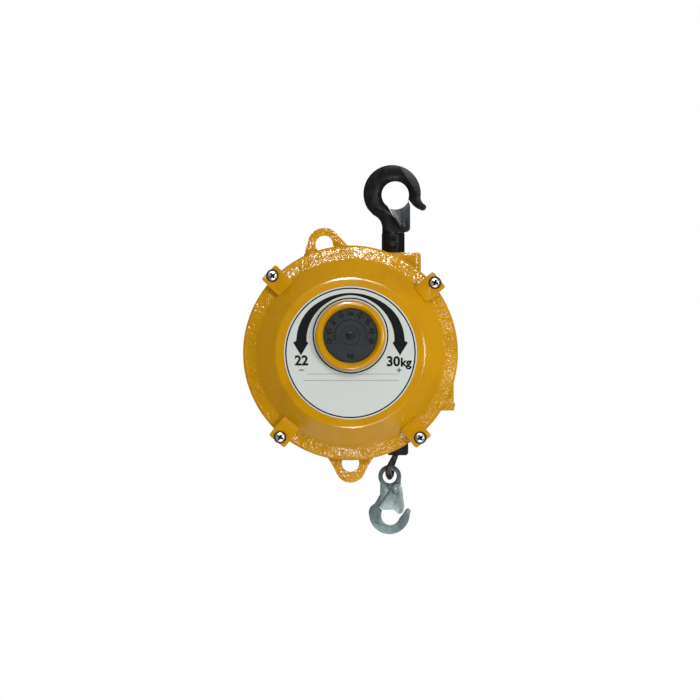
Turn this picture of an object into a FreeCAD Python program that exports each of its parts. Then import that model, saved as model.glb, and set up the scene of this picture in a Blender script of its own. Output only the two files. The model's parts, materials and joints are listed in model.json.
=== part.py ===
"""Spring balancer for hand tools: a hook-hung drum case that pays out a wire rope at constant pull.

Modelled about the drum axis, which runs along Y with the dial facing -Y, then moved so that the
origin lies at the centre of the top hook's throat, where the balancer hangs. Millimetres.
"""
import FreeCAD
import Part

import math
import os

# Main sizes, about the drum axis
CASE_R = 104.0             # outer radius of the rear case
COVER_DEPTH = 38.0         # from the joint forward to the cover's flat face
CASE_DEPTH = 74.0          # from the joint back to the outside of the back wall
WALL = 4.0                 # wall of both castings
JOINT_Y = -28.0            # face where cover and case meet
FACE_Y = JOINT_Y - COVER_DEPTH
CASE_BACK_Y = JOINT_Y + CASE_DEPTH

# Clearances
RUN = 0.05                 # radial clearance of a running fit
GAP = 0.4                  # air between pieces that move past each other
BOLT_GAP = 0.3             # radial clearance of a through hole round its screw
LATCH_GAP = 0.8            # air between a latch's cheeks and its hook
PAWL_GAP = 0.8             # air over the ratchet's teeth under the resting pawl
TOOTH_PLAY = 0.16          # thinning of each tooth of the dial's gears

# Castings
RIM_LAP = 8.0              # how far the cover's flange stands out beyond the case
COVER_R = CASE_R + RIM_LAP
DOME_FOOT_R = CASE_R - 6.0  # where the dome leaves the flange
DOME_SLOPE = 20.4          # radial width of the dome's slope
DOME_TOP_R = DOME_FOOT_R - DOME_SLOPE
FLANGE = 10.0              # thickness of the cover's flange
FLANGE_DRAFT = 1.6         # how far the flange's face falls back towards its rim
SOFT = 2.0                 # rounding of the cover's edges
SPIGOT = 3.0               # depth of the cover's locating spigot inside the case
CASE_BACK_R = CASE_R - 14.0  # radius of the flat back
BACK_DRAFT_Y = CASE_BACK_Y - 16.0  # where the case's side begins to round into the back
RIBS = 6                   # in the cover, and in the drum
BACK_RIBS = 8
RIB = 3.0

# Tabs and their screws
TAB_ANGLES = (39.7, 135.3, 230.1, 309.4)
TAB_WIDTH = 21.0
TAB_RISE = 6.2             # stands proud of the flange, so it runs out on the dome
SCREW_PCD_R = COVER_R + 2.4
TAB_IN_R = SCREW_PCD_R - 20.0
TAB_OUT_R = SCREW_PCD_R + 5.9
TAB_DEPTH = 18.0           # of the tab on the case behind each tab of the cover
M6_R = 3.0
M6_HEAD_R = 2 * M6_R
M6_HEAD = 3.8
M6_LENGTH = 26.0

# Suspension lugs
LUG_THICK = 12.0
LUG_HOLE_R = 9.0
TOP_LUG = (-27.4, CASE_R + 9.2)
TOP_LUG_R = LUG_HOLE_R + 8.2
BOTTOM_LUG = (0.0, -CASE_R - 11.0)
BOTTOM_LUG_R = LUG_HOLE_R + 6.8   # about a point a little below its hole
BOTTOM_LUG_DROP = 4.5

# Dial, on its own axis above the drum axis
GEAR_MODULE = 1.0
PINION_TEETH = 12
RING_TEETH = 48
DIAL_Z = GEAR_MODULE * (RING_TEETH - PINION_TEETH) / 2
DIAL_R = 27.9
DIAL_LIP_R = DIAL_R + 3.8
DIAL_BOSS_R = DIAL_LIP_R + 4.5
BOSS_HEIGHT = 12.0         # of the dial's boss in front of the flat face
DIAL_SUNK = 5.4            # dial face below the boss's rim
DIAL_BOSS_Y = FACE_Y - BOSS_HEIGHT
DIAL_FRONT_Y = DIAL_BOSS_Y + DIAL_SUNK
DIAL_FLOOR_Y = FACE_Y + 2.0
DIAL_HUB_R = 9.7
DIAL_AXLE_R = 3.0
DIAL_THREAD_R = 2.0
DIAL_HEAD = 1.5            # height of the head of the dial's screw
SHEET = 0.6                # printed face of the dial, and the label plate
WEB = 1.2                  # disc of the dial's gear
RING_WIDTH = 6.0
WEB_Y = DIAL_FRONT_Y + SHEET
RING_BACK_Y = WEB_Y + WEB + RING_WIDTH

# Label plate
LABEL_R = DOME_TOP_R - 8.4
LABEL_HOLE_R = DIAL_BOSS_R + 0.5

# Shaft and ball bearings (outer radius, width)
SHAFT_R = 12.0
SHAFT_END_R = SHAFT_R - 2.0
ARBOR_R = SHAFT_R + 2.0
JOURNAL_R = 5.0
HUB_BUSH_R = JOURNAL_R + 1.8
HUB_R = HUB_BUSH_R + 1.7   # spring case hub, in the front bearing
KEY = 6.0
KEY_LENGTH = 26.0
CIRCLIP = 1.2
FRONT_BEARING = (HUB_R + 6.5, 7.0)
REAR_BEARING = (SHAFT_END_R + 11.0, 12.0)
FRONT_BEARING_Y = DIAL_FLOOR_Y + 2.0
REAR_BEARING_Y = CASE_BACK_Y - WALL
BEARING_SHOULDER = 6.0     # of the castings round a bearing
CAP_SCREW_R = 2.0
CAP_FLANGE = 3.0

# Spring case, worm wheel and worm
WORM_MODULE = 2.5
WHEEL_TEETH = 2 * int((CASE_R - WALL - 15.0) / WORM_MODULE)
WHEEL_R = WORM_MODULE * WHEEL_TEETH / 2
WHEEL_WIDTH = 12.0
SPRING_CASE_R = WHEEL_R - 11.0
SPRING_WALL = 3.0
SPRING_FRONT_Y = FRONT_BEARING_Y + FRONT_BEARING[1] + 3.0
SPRING_BACK_Y = -7.4
SPRING_STRIP = 1.4
SPRING_COILS = 8
LID = 3.0
LID_SCREWS = 6
LID_SCREW_PCD_R = SPRING_CASE_R + 3.0
WORM_PITCH_R = 8.0
WORM_X = WHEEL_R + WORM_PITCH_R
WORM_Y = SPRING_BACK_Y - WHEEL_WIDTH / 2
WORM_HALF = WORM_PITCH_R + WORM_MODULE + 4.0  # half width of the housing over the worm
WORM_RIGHT_X = WORM_X + WORM_HALF + 0.1
WORM_FOOT_Z = -56.0
WORM_HEAD_Z = 28.0
WORM_COLLAR_Z = WORM_FOOT_Z + 12.0
WORM_TOP_Z = WORM_HEAD_Z + 8.0
WORM_CAP = 4.2
WORM_JOURNAL_R = 5.0
WORM_BUSH_R = WORM_JOURNAL_R + 2.0
WORM_TURNS = 3
WORM_SOCKET = 6.0          # across flats
BUSH_LENGTH = 8.0
SUNK_R = 3.6               # countersunk head

# Rope and drum
ROPE_R = 2.4
ROPE_Y = 12.0              # plane of the rope outlet and of both hooks
ROPE_LIFT = 0.6            # allowance for the rope's chords round the cone
DRUM_FLANGE_R = CASE_R - 38.0
DRUM_LARGE_R = DRUM_FLANGE_R - 10.0
CONE_RISE = 11.5           # growth of the drum's radius over the wound rope
DRUM_SMALL_R = DRUM_LARGE_R - CONE_RISE   # under the rope at its paid-out end
DRUM_FRONT_Y = SPRING_BACK_Y + LID + 1.4
DRUM_FLANGE = 5.0
DRUM_REAR_FLANGE = 3.0
DRUM_AIR = 1.0             # between the drum and the case's back wall
GROOVE_PITCH = 2.5 * ROPE_R
DRUM_SPACE = CASE_BACK_Y - WALL - DRUM_AIR - DRUM_REAR_FLANGE - DRUM_FRONT_Y - DRUM_FLANGE
ROPE_TURNS = int(DRUM_SPACE / GROOVE_PITCH + 0.001) - 1
RATCHET_TEETH = 12
RATCHET_DEPTH = 5.5

# Pawl
PAWL_Y = DRUM_FRONT_Y + DRUM_FLANGE / 2
PAWL_ANGLE = 104.0
PAWL_TIP_ANGLE = 127.0
PAWL_EYE = 4.6             # thickness of the pawl at its pin
PAWL_EYE_R = 6.5
PAWL_PIN_R = DRUM_FLANGE_R + 18.0
PAWL_PIN_HOLE_R = 3.0

# Rope outlet
OUTLET_X = DRUM_SMALL_R + ROPE_R + ROPE_LIFT + 0.5
OUTLET_FACE_Z = -math.sqrt(CASE_R ** 2 - OUTLET_X ** 2) - 0.34
FERRULE_R = 2 * ROPE_R + 0.8
FERRULE_TOP_Z = OUTLET_FACE_Z + 4.6
FERRULE_BOTTOM_Z = FERRULE_TOP_Z - 16.0
BUSH_OUT_R = FERRULE_R + 2.4
GUIDE_LENGTH = 22.6
BUMPER_R = FERRULE_R + 5.6
BUMPER_BOTTOM_Z = FERRULE_BOTTOM_Z - 3.0
BUMPER_X = OUTLET_X + 1.2

# Hanger, over the rope, and its box
HANGER_X = OUTLET_X - 3.4
HANGER_R = 12.0
BOX_TOP_Z = CASE_R + 0.8
BOX_LEFT_X = HANGER_X - 14.7
BOX_RIGHT_X = HANGER_X + 28.9
BOX_HALF_Y = 18.0
BOX_PIN = (HANGER_X + 18.8, BOX_TOP_Z - 12.3)
BOX_PIN_R = 1.5
ROOF = 14.0                # of the box, over the nut's space
SHANK_R = 8.0
HANGER_TOP_Z = BOX_TOP_Z + 20.4
NUT_R = SHANK_R + 5.0
NUT_HEIGHT = 9.0
WASHER = 2.0
CROSS_PIN_R = 3.0
CROSS_PIN_Z = HANGER_TOP_Z - 12.2

# Top hook, about its throat centre
HOOK_X = HANGER_X + 2.2
HOOK_Z = HANGER_TOP_Z + 39.8
THROAT_R = 14.2
BOW_R = 30.0
HOOK_THICK = 13.0
UPPER_PIVOT = (HOOK_X + 9.6, HOOK_Z - 32.5)
UPPER_BOSS_R = 4.2
RIVET_R = 2.0
LATCH_SHEET = 1.4

# Load hook, about its eye
EYE_X = OUTLET_X - 7.0
EYE_Z = BUMPER_BOTTOM_Z - 22.0
EYE_R = 12.0
EYE_HOLE_R = 7.2
LOAD_BOWL_R = 21.3
LOAD_THROAT_R = 9.7
LOAD_THICK = 10.0
LOAD_PIVOT = (EYE_X + 6.3, EYE_Z - 15.0)
LOAD_BOSS_R = 5.2

# End loop of the rope and its thimble
THIMBLE_R = 6.4
THIMBLE = 1.2
THIMBLE_LIP = 3.2          # height of the thimble's channel outside its bend
THIMBLE_WIDTH = 2 * ROPE_R + 1.6
LOOP_TURN = 12.0           # degrees between the loop's plane and the YZ plane
LOOP_BEND_Z = EYE_Z + 8.6
LOOP_R = THIMBLE_R + THIMBLE + ROPE_R
LEG_DROP = 1.0             # start of the slanting legs below the ferrule

X_AXIS = FreeCAD.Vector(1, 0, 0)
Y_AXIS = FreeCAD.Vector(0, 1, 0)
Z_AXIS = FreeCAD.Vector(0, 0, 1)
ORIGIN_SHIFT = FreeCAD.Vector(-HOOK_X, -ROPE_Y, -HOOK_Z)


def vec(x, y, z):
    return FreeCAD.Vector(x, y, z)


def polar(radius, degrees, centre=(0.0, 0.0)):
    """Point (x, z) at an angle from +X towards +Z."""
    angle = math.radians(degrees)
    return centre[0] + radius * math.cos(angle), centre[1] + radius * math.sin(angle)


PAWL_PIN = polar(PAWL_PIN_R, PAWL_ANGLE)


def rod_y(radius, y0, y1, x=0.0, z=0.0):
    return Part.makeCylinder(radius, y1 - y0, vec(x, y0, z), Y_AXIS)


def rod_z(radius, z0, z1, x=0.0, y=0.0):
    return Part.makeCylinder(radius, z1 - z0, vec(x, y, z0), Z_AXIS)


def block(x0, x1, y0, y1, z0, z1):
    return Part.makeBox(x1 - x0, y1 - y0, z1 - z0, vec(x0, y0, z0))


def turned_y(points, x=0.0, z=0.0):
    """Solid turned about a line along Y from (radius, y) points."""
    corners = [vec(x + radius, y, z) for radius, y in points]
    face = Part.Face(Part.makePolygon(corners + corners[:1]))
    return face.revolve(vec(x, 0, z), Y_AXIS, 360)


def turned_z(points, x, y):
    """Solid turned about a line along Z from (radius, z) points."""
    corners = [vec(x + radius, y, z) for radius, z in points]
    face = Part.Face(Part.makePolygon(corners + corners[:1]))
    return face.revolve(vec(x, y, 0), Z_AXIS, 360)


def outline(start, steps):
    """Closed wire in the XZ plane: a step is an end point, or (through, end) for an arc."""
    edges = []
    here = vec(start[0], 0, start[1])
    for step in steps + [start]:
        arc = isinstance(step[0], tuple)
        end = vec(step[1][0], 0, step[1][1]) if arc else vec(step[0], 0, step[1])
        if arc:
            through = vec(step[0][0], 0, step[0][1])
            edges.append(Part.Arc(here, through, end).toShape())
        elif (end - here).Length > 1e-6:
            edges.append(Part.LineSegment(here, end).toShape())
        here = end
    return Part.Wire(edges)


def plate_y(wire, y0, y1):
    """Plate between two Y planes from a wire in the XZ plane."""
    face = Part.Face(wire)
    face.translate(vec(0, y0, 0))
    return face.extrude(vec(0, y1 - y0, 0))


def prism_y(points, y0, y1):
    corners = [vec(x, 0, z) for x, z in points]
    return plate_y(Part.makePolygon(corners + corners[:1]), y0, y1)


def about_y(shape, degrees, x=0.0, z=0.0):
    """Copy turned about a line along Y, from +X towards +Z."""
    copy = shape.copy()
    copy.rotate(vec(x, 0, z), Y_AXIS, -degrees)
    return copy


def skinned(sections):
    """Solid through a row of like sections, each a list of points, closed at both ends."""
    faces = []

    def add(*corners):
        faces.append(Part.Face(Part.makePolygon(list(corners) + [corners[0]])))

    count = len(sections[0])
    for before, after in zip(sections, sections[1:]):
        for k in range(count):
            m = (k + 1) % count
            add(before[k], before[m], after[m])
            add(before[k], after[m], after[k])
    for end in (sections[0], sections[-1]):
        middle = sum(end[1:], end[0]) * (1 / count)
        for k in range(count):
            add(end[k], end[(k + 1) % count], middle)
    return Part.Solid(Part.Shell(faces))


def wire_along(spots, radius, sides, across):
    """Round wire through a row of points; across is a direction never in line with it."""
    sections = []
    for k, spot in enumerate(spots):
        before = spots[max(k - 1, 0)]
        after = spots[min(k + 1, len(spots) - 1)]
        way = (after - before).normalize()
        u = way.cross(across).normalize()
        v = way.cross(u)
        ring = []
        for n in range(sides):
            turn = 2 * math.pi * n / sides
            ring.append(spot + u * (radius * math.cos(turn)) + v * (radius * math.sin(turn)))
        sections.append(ring)
    return skinned(sections)


def coil(coil_r, pitch, turns, wire_r, base, grow=0.0, steps=24, sides=8):
    """Round wire coiled about a line along Y, its radius growing by grow from first to last."""
    spots = []
    for k in range(turns * steps + 1):
        x, z = polar(coil_r + grow * k / (turns * steps), 360 * k / steps)
        spots.append(base + vec(x, pitch * k / steps, z))
    return wire_along(spots, wire_r, sides, Y_AXIS)


def gear_outline(teeth, module, addendum, dedendum, play, steps=3):
    """(x, z) points of an involute gear; play thins its teeth, and fattens them when negative."""
    pressure = math.radians(20)
    pitch_r = module * teeth / 2
    base_r = pitch_r * math.cos(pressure)
    root_r = pitch_r - dedendum
    tip_r = pitch_r + addendum
    half = math.pi / (2 * teeth) - play / (2 * pitch_r)
    involute = math.tan(pressure) - pressure
    flank_start = max(base_r, root_r)
    flank = [] if root_r >= base_r else [root_r]
    flank += [flank_start + (tip_r - flank_start) * k / (steps - 1) for k in range(steps)]
    points = []
    for tooth in range(teeth):
        middle = 2 * math.pi * tooth / teeth
        sides = []
        for radius in flank:
            angle = math.acos(min(1.0, base_r / max(radius, base_r)))
            sides.append((radius, half + involute - (math.tan(angle) - angle)))
        for radius, turn in sides:
            points.append(polar(radius, math.degrees(middle - turn)))
        for radius, turn in reversed(sides):
            points.append(polar(radius, math.degrees(middle + turn)))
    return points


# Castings

def cover_tab(angle, y0, y1, inner, outer, width):
    """Rounded-end tab across the flange, its long way along the radius."""
    corner = 2.5
    half = width / 2
    tab = block(inner, outer, y0, y1, -half, half)
    edges = [e for e in tab.Edges if abs(e.BoundBox.YLength - (y1 - y0)) < 1e-6]
    return about_y(tab.makeFillet(corner, edges), angle)


def front_cover():
    """Domed cover with its flange, screw tabs, dial boss, bearing hub and inside ribs."""
    flange_y = JOINT_Y - FLANGE
    rim_y = flange_y + FLANGE_DRAFT
    ceiling_y = FACE_Y + WALL + 2
    shell = turned_y([
        (0, FACE_Y), (DOME_TOP_R - SOFT, FACE_Y), (DOME_TOP_R + SOFT / 2, FACE_Y + SOFT / 2),
        (DOME_FOOT_R - SOFT / 2, flange_y - SOFT), (DOME_FOOT_R + SOFT / 2, flange_y),
        (COVER_R - SOFT, rim_y), (COVER_R, rim_y + SOFT), (COVER_R, JOINT_Y), (0, JOINT_Y),
    ])
    inside = turned_y([
        (0, ceiling_y), (DOME_TOP_R - WALL - 2, ceiling_y),
        (DOME_FOOT_R - WALL - 1, flange_y + 1), (CASE_R - WALL - SPIGOT, JOINT_Y), (0, JOINT_Y),
    ])
    shell = shell.cut(inside)
    spigot_r = CASE_R - WALL - GAP / 2
    spigot = rod_y(spigot_r, JOINT_Y - 1, JOINT_Y + SPIGOT)
    spigot = spigot.cut(rod_y(spigot_r - SPIGOT, JOINT_Y - 2, JOINT_Y + SPIGOT + 1))
    beside_worm = block(WORM_X - 22, CASE_R, JOINT_Y, JOINT_Y + SPIGOT + 1,
                        WORM_FOOT_Z - 12, WORM_TOP_Z + 8)
    shell = shell.fuse(spigot.cut(beside_worm))
    for angle in TAB_ANGLES:
        tab = cover_tab(angle, flange_y - TAB_RISE, JOINT_Y, TAB_IN_R, TAB_OUT_R, TAB_WIDTH)
        shell = shell.fuse(tab)
    boss = turned_y([
        (0, FACE_Y + 1), (DIAL_BOSS_R + 0.3, FACE_Y + 1), (DIAL_BOSS_R, DIAL_BOSS_Y + 2.6),
        (DIAL_BOSS_R - 0.8, DIAL_BOSS_Y + 0.8), (DIAL_BOSS_R - 2.2, DIAL_BOSS_Y), (0, DIAL_BOSS_Y),
    ], 0, DIAL_Z)
    bore_r = DIAL_R + GAP + BOLT_GAP
    chamber = turned_y([
        (0, DIAL_BOSS_Y - 1), (DIAL_LIP_R, DIAL_BOSS_Y - 1), (DIAL_LIP_R, DIAL_BOSS_Y),
        (bore_r, DIAL_BOSS_Y + DIAL_SUNK - 0.6), (bore_r, DIAL_FLOOR_Y), (0, DIAL_FLOOR_Y),
    ], 0, DIAL_Z)
    hub_y = FRONT_BEARING_Y
    hub = rod_y(FRONT_BEARING[0] + 4.5, hub_y, hub_y + FRONT_BEARING[1])
    post_pad = rod_y(2 * DIAL_AXLE_R, hub_y, FACE_Y + 10, 0, DIAL_Z)
    shell = shell.fuse(boss).fuse(hub).fuse(post_pad).cut(chamber)
    shell = shell.cut(rod_y(FRONT_BEARING[0], hub_y, hub_y + FRONT_BEARING[1] + 1))
    shell = shell.cut(rod_y(HUB_R + 3, DIAL_FLOOR_Y - 1, hub_y + 1))
    shell = shell.cut(rod_y(DIAL_THREAD_R, DIAL_FLOOR_Y - 1, FACE_Y + 8.5, 0, DIAL_Z))
    for angle in TAB_ANGLES:
        x, z = polar(SCREW_PCD_R, angle)
        shell = shell.cut(rod_y(M6_R + BOLT_GAP, flange_y - TAB_RISE - 1, JOINT_Y + 1, x, z))
    for k in range(RIBS):
        rib = block(FRONT_BEARING[0] + 4, DOME_TOP_R - WALL, ceiling_y - 1, ceiling_y + RIB,
                    -RIB / 2, RIB / 2)
        shell = shell.fuse(about_y(rib, 360 / RIBS * k))
    return shell.removeSplitter()


def top_lug():
    """Lug leaning out beside the hanger, its flanks straight down to the case."""
    tip, left, right = (polar(TOP_LUG_R, angle, TOP_LUG) for angle in (103.6, 173.6, 33.6))
    wire = outline(polar(CASE_R - 2, 121.1), [left, (tip, right), polar(CASE_R - 2, 86.1)])
    return plate_y(wire, JOINT_Y, JOINT_Y + LUG_THICK)


def bottom_lug():
    """Lug under the case, its flanks flaring out towards it."""
    nose = (BOTTOM_LUG[0], BOTTOM_LUG[1] - BOTTOM_LUG_DROP)
    foot = (BOTTOM_LUG[0] + 33.0, BOTTOM_LUG[1] + 17.0)
    waist = (BOTTOM_LUG[0] + 22.6, BOTTOM_LUG[1] + 4.0)
    tip, left, right = (polar(BOTTOM_LUG_R, angle, nose) for angle in (-90, 205, -25))
    mirrored = [(2 * BOTTOM_LUG[0] - x, z) for x, z in (foot, waist)]
    wire = outline(mirrored[0], [(mirrored[1], left), (tip, right), (waist, foot)])
    return plate_y(wire, JOINT_Y, JOINT_Y + LUG_THICK)


def main_case():
    """Deep rear casting: drum space, lugs, hanger box, worm tunnel, rope outlet, bearing seat."""
    side_r = CASE_R - 2
    shell = turned_y([
        (0, JOINT_Y), (CASE_R, JOINT_Y), (side_r, BACK_DRAFT_Y), (side_r - 2, BACK_DRAFT_Y + 8),
        (CASE_BACK_R + 3, CASE_BACK_Y - 2.5), (CASE_BACK_R, CASE_BACK_Y), (0, CASE_BACK_Y),
    ])
    shell = shell.fuse([top_lug(), bottom_lug()])
    for angle in TAB_ANGLES:
        tab = cover_tab(angle, JOINT_Y, JOINT_Y + TAB_DEPTH, CASE_R - 8, TAB_OUT_R - 1,
                        TAB_WIDTH - 2)
        shell = shell.fuse(tab)
    shell = shell.fuse(hanger_box())
    shell = shell.fuse(worm_housing())
    outlet_r = BUMPER_R + 3
    outlet_top = OUTLET_FACE_Z + GUIDE_LENGTH
    outlet = block(OUTLET_X - outlet_r, BUMPER_X + outlet_r, ROPE_Y - outlet_r, ROPE_Y + outlet_r,
                   OUTLET_FACE_Z, outlet_top)
    shell = shell.fuse(outlet)
    boss_y = REAR_BEARING_Y + REAR_BEARING[1]
    boss_r = REAR_BEARING[0] + BEARING_SHOULDER
    shell = shell.fuse(rod_y(boss_r, CASE_BACK_Y - 1, boss_y))
    for k in range(BACK_RIBS):
        shell = shell.fuse(back_rib(360 / BACK_RIBS * (k + 0.5), boss_y))
    inner_r = CASE_R - WALL
    inside = turned_y([
        (0, JOINT_Y - 1), (inner_r, JOINT_Y - 1), (inner_r, JOINT_Y + SPIGOT + 1),
        (inner_r - 2, BACK_DRAFT_Y - 2), (CASE_BACK_R - 2, CASE_BACK_Y - WALL),
        (0, CASE_BACK_Y - WALL),
    ])
    shell = shell.cut(inside)
    shell = shell.fuse(rod_y(boss_r, REAR_BEARING_Y - DRUM_AIR, CASE_BACK_Y))
    roof = BOX_TOP_Z - ROOF
    shell = shell.fuse(rod_z(NUT_R + 5, roof - NUT_HEIGHT - WASHER, roof + 4, HANGER_X, ROPE_Y))
    shell = shell.fuse(rod_z(BUMPER_R + WALL, OUTLET_FACE_Z, outlet_top - 2, BUMPER_X, ROPE_Y))
    shell = shell.cut(rod_z(BUMPER_R + 1.5, -CASE_R - 16, OUTLET_FACE_Z, BUMPER_X, ROPE_Y))
    shell = shell.fuse(worm_seats()).cut(worm_notch())
    shell = shell.cut(rod_y(REAR_BEARING[0], REAR_BEARING_Y, boss_y + 1))
    shell = shell.cut(rod_y(SHAFT_R + 3, REAR_BEARING_Y - 3, REAR_BEARING_Y + 1))
    for centre in (TOP_LUG, BOTTOM_LUG):
        shell = shell.cut(rod_y(LUG_HOLE_R, JOINT_Y - 1, JOINT_Y + LUG_THICK + 1, *centre))
    for angle in TAB_ANGLES:
        x, z = polar(SCREW_PCD_R, angle)
        shell = shell.cut(rod_y(M6_R, JOINT_Y - 1, JOINT_Y + M6_LENGTH - FLANGE, x, z))
    for x, z in cap_screw_places():
        shell = shell.cut(rod_y(CAP_SCREW_R, boss_y - 9, boss_y + 1, x, z))
    shell = shell.cut(hanger_bore())
    shell = shell.cut(worm_bore())
    shell = shell.cut(rod_z(BUSH_OUT_R, OUTLET_FACE_Z - 1, outlet_top + 10, OUTLET_X, ROPE_Y))
    ear_r = 2 * PAWL_PIN_HOLE_R
    ear_y = PAWL_Y + PAWL_EYE / 2 + GAP
    ear = block(PAWL_PIN_R, CASE_R - WALL / 2, ear_y, ear_y + 8, -ear_r, ear_r)
    shell = shell.fuse(rod_y(ear_r, ear_y, ear_y + 8, *PAWL_PIN)).fuse(about_y(ear, PAWL_ANGLE))
    shell = shell.cut(rod_y(PAWL_PIN_HOLE_R, ear_y - 1, ear_y + 7, *PAWL_PIN))
    return shell.removeSplitter()


def back_rib(angle, boss_y):
    """Rib on the back from the bearing boss out to the rim, tapering to nothing."""
    inner = REAR_BEARING[0] + BEARING_SHOULDER - 1
    outer = CASE_BACK_R - 2
    corners = [vec(inner, CASE_BACK_Y - 1, -2), vec(inner, boss_y - 2, -2),
               vec(outer, CASE_BACK_Y + 1, -2), vec(outer, CASE_BACK_Y - 1, -2)]
    face = Part.Face(Part.makePolygon(corners + corners[:1]))
    return about_y(face.extrude(vec(0, 0, 4)), angle)


def hanger_box():
    """Square boss on the case's shoulder that carries the hanger."""
    corner = 4.0
    box = block(BOX_LEFT_X, BOX_RIGHT_X, ROPE_Y - BOX_HALF_Y, ROPE_Y + BOX_HALF_Y,
                BOX_TOP_Z - 3 * ROOF, BOX_TOP_Z)
    edges = [e for e in box.Edges if e.BoundBox.XMin > BOX_RIGHT_X - 1
             and (e.BoundBox.ZLength > 10 or e.BoundBox.ZMin > BOX_TOP_Z - 1)]
    return box.makeFillet(corner, edges)


def hanger_bore():
    """Shank hole through the box's roof, opening into the nut's space below."""
    roof = BOX_TOP_Z - ROOF
    hole = rod_z(SHANK_R + RUN, roof - 1, BOX_TOP_Z + 1, HANGER_X, ROPE_Y)
    space = rod_z(NUT_R + 1.5, roof - 3 * ROOF, roof, HANGER_X, ROPE_Y)
    pin = rod_y(BOX_PIN_R, ROPE_Y - BOX_HALF_Y - 1, ROPE_Y - BOX_HALF_Y + 10, *BOX_PIN)
    return hole.fuse(space).fuse(pin)


def worm_housing():
    """Upright tunnel at the case's side for the adjuster worm, with a foot flange."""
    half = WORM_HALF
    body = block(WORM_X - half, WORM_RIGHT_X, WORM_Y - half, WORM_Y + half, WORM_FOOT_Z, WORM_HEAD_Z)
    edges = [e for e in body.Edges if e.BoundBox.ZLength > 10 and e.BoundBox.XMin > WORM_X]
    body = body.makeFillet(5.0, edges)
    foot = block(WORM_X - half - 1, WORM_RIGHT_X + 1.4, WORM_Y - half, WORM_Y + half + 1,
                 WORM_FOOT_Z, WORM_FOOT_Z + 4)
    edges = [e for e in foot.Edges if abs(e.BoundBox.ZLength - 4) < 1e-6
             and e.BoundBox.XMin > WORM_X]
    return body.fuse(foot.makeFillet(4.0, edges))


def worm_seats():
    """Roof over the foot cap, wall beside it, collar for its spigot and boss for the top bush."""
    half = WORM_HALF
    left = WORM_X - half - 2
    low = WORM_Y - half
    high = WORM_Y + half
    roof = block(left - WALL, WORM_X, low, high, WORM_FOOT_Z, WORM_FOOT_Z + WALL)
    rim_z = -math.sqrt((CASE_R - WALL / 2) ** 2 - left ** 2)
    wall = block(left - WALL, left, low, high, rim_z, WORM_FOOT_Z + WALL)
    collar = rod_z(half - 0.3, WORM_FOOT_Z, WORM_COLLAR_Z - GAP, WORM_X, WORM_Y)
    boss = rod_z(WORM_BUSH_R + 3, WORM_TOP_Z - BUSH_LENGTH, WORM_TOP_Z + 2, WORM_X, WORM_Y)
    return roof.fuse([wall, collar, boss])


def worm_notch():
    """Flat under the worm housing's foot, cut into the round of the case."""
    half = WORM_HALF
    return block(WORM_X - half - 2, CASE_R + 10, WORM_Y - half, WORM_Y + half + 1,
                 WORM_FOOT_Z - 34, WORM_FOOT_Z)


def worm_bore():
    """Tunnel for the worm, seat and neck for its upper bush, and the cap's screw holes."""
    clear_r = WORM_PITCH_R + WORM_MODULE + GAP
    top = WORM_TOP_Z
    tunnel = rod_z(clear_r, WORM_FOOT_Z - 1, top - BUSH_LENGTH - 4, WORM_X, WORM_Y)
    seat = rod_z(WORM_BUSH_R, top - BUSH_LENGTH, top, WORM_X, WORM_Y)
    neck = rod_z(WORM_JOURNAL_R + 1, top - BUSH_LENGTH - 5, top - BUSH_LENGTH + 1, WORM_X, WORM_Y)
    screws = [rod_z(CAP_SCREW_R, WORM_FOOT_Z - 1, WORM_FOOT_Z + 8, x, y) for x, y in worm_screws()]
    return tunnel.fuse([seat, neck]).fuse(screws)


def cap_screw_places():
    return [polar(REAR_BEARING[0] + 3.2, 45 + 90 * k) for k in range(4)]


def worm_screws():
    reach = WORM_HALF - 4.3
    return [(WORM_X - reach, WORM_Y + reach), (WORM_X + reach, WORM_Y - reach)]


# Fasteners

def pan_screw(x, z, seat_y, shank_r, head_r, head, length):
    """Cross-recess pan-head screw driven towards +Y, its head bearing on the plane seat_y."""
    top = seat_y - head
    shape = turned_y([
        (0, top), (head_r * 0.55, top + head * 0.06), (head_r * 0.85, top + head * 0.28),
        (head_r, top + head * 0.7), (head_r, seat_y), (shank_r, seat_y),
        (shank_r, seat_y + length - 0.8), (shank_r - 0.8, seat_y + length), (0, seat_y + length),
    ], x, z)
    arm = head_r * 0.52
    slot = head_r * 0.11
    depth = head * 0.5
    for half_x, half_z in ((arm, slot), (slot, arm)):
        cross = block(x - half_x, x + half_x, top - 1, top + depth, z - half_z, z + half_z)
        shape = shape.cut(cross)
    return shape


def cover_screws():
    seat = JOINT_Y - FLANGE - TAB_RISE
    screws = []
    for angle in TAB_ANGLES:
        x, z = polar(SCREW_PCD_R, angle)
        screws.append(pan_screw(x, z, seat, M6_R, M6_HEAD_R, M6_HEAD, M6_LENGTH))
    return Part.makeCompound(screws)


def back_screw(x, z, seat_y, shank_r, head_r, head, length):
    """Cylinder-head screw driven towards -Y from the back."""
    body = turned_y([
        (0, seat_y - length), (shank_r, seat_y - length), (shank_r, seat_y), (head_r, seat_y),
        (head_r, seat_y + head), (0, seat_y + head),
    ], x, z)
    socket = rod_y(head_r * 0.5, seat_y + head * 0.4, seat_y + head + 1, x, z)
    return body.cut(socket)


# Label and dial

def label_plate():
    ring = rod_y(LABEL_R, FACE_Y - SHEET, FACE_Y)
    return ring.cut(rod_y(LABEL_HOLE_R, FACE_Y - 2, FACE_Y + 1, 0, DIAL_Z))


def dial_face():
    disc = rod_y(DIAL_R, DIAL_FRONT_Y, WEB_Y, 0, DIAL_Z)
    return disc.cut(rod_y(DIAL_HUB_R, DIAL_FRONT_Y - 1, WEB_Y + 1, 0, DIAL_Z))


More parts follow.
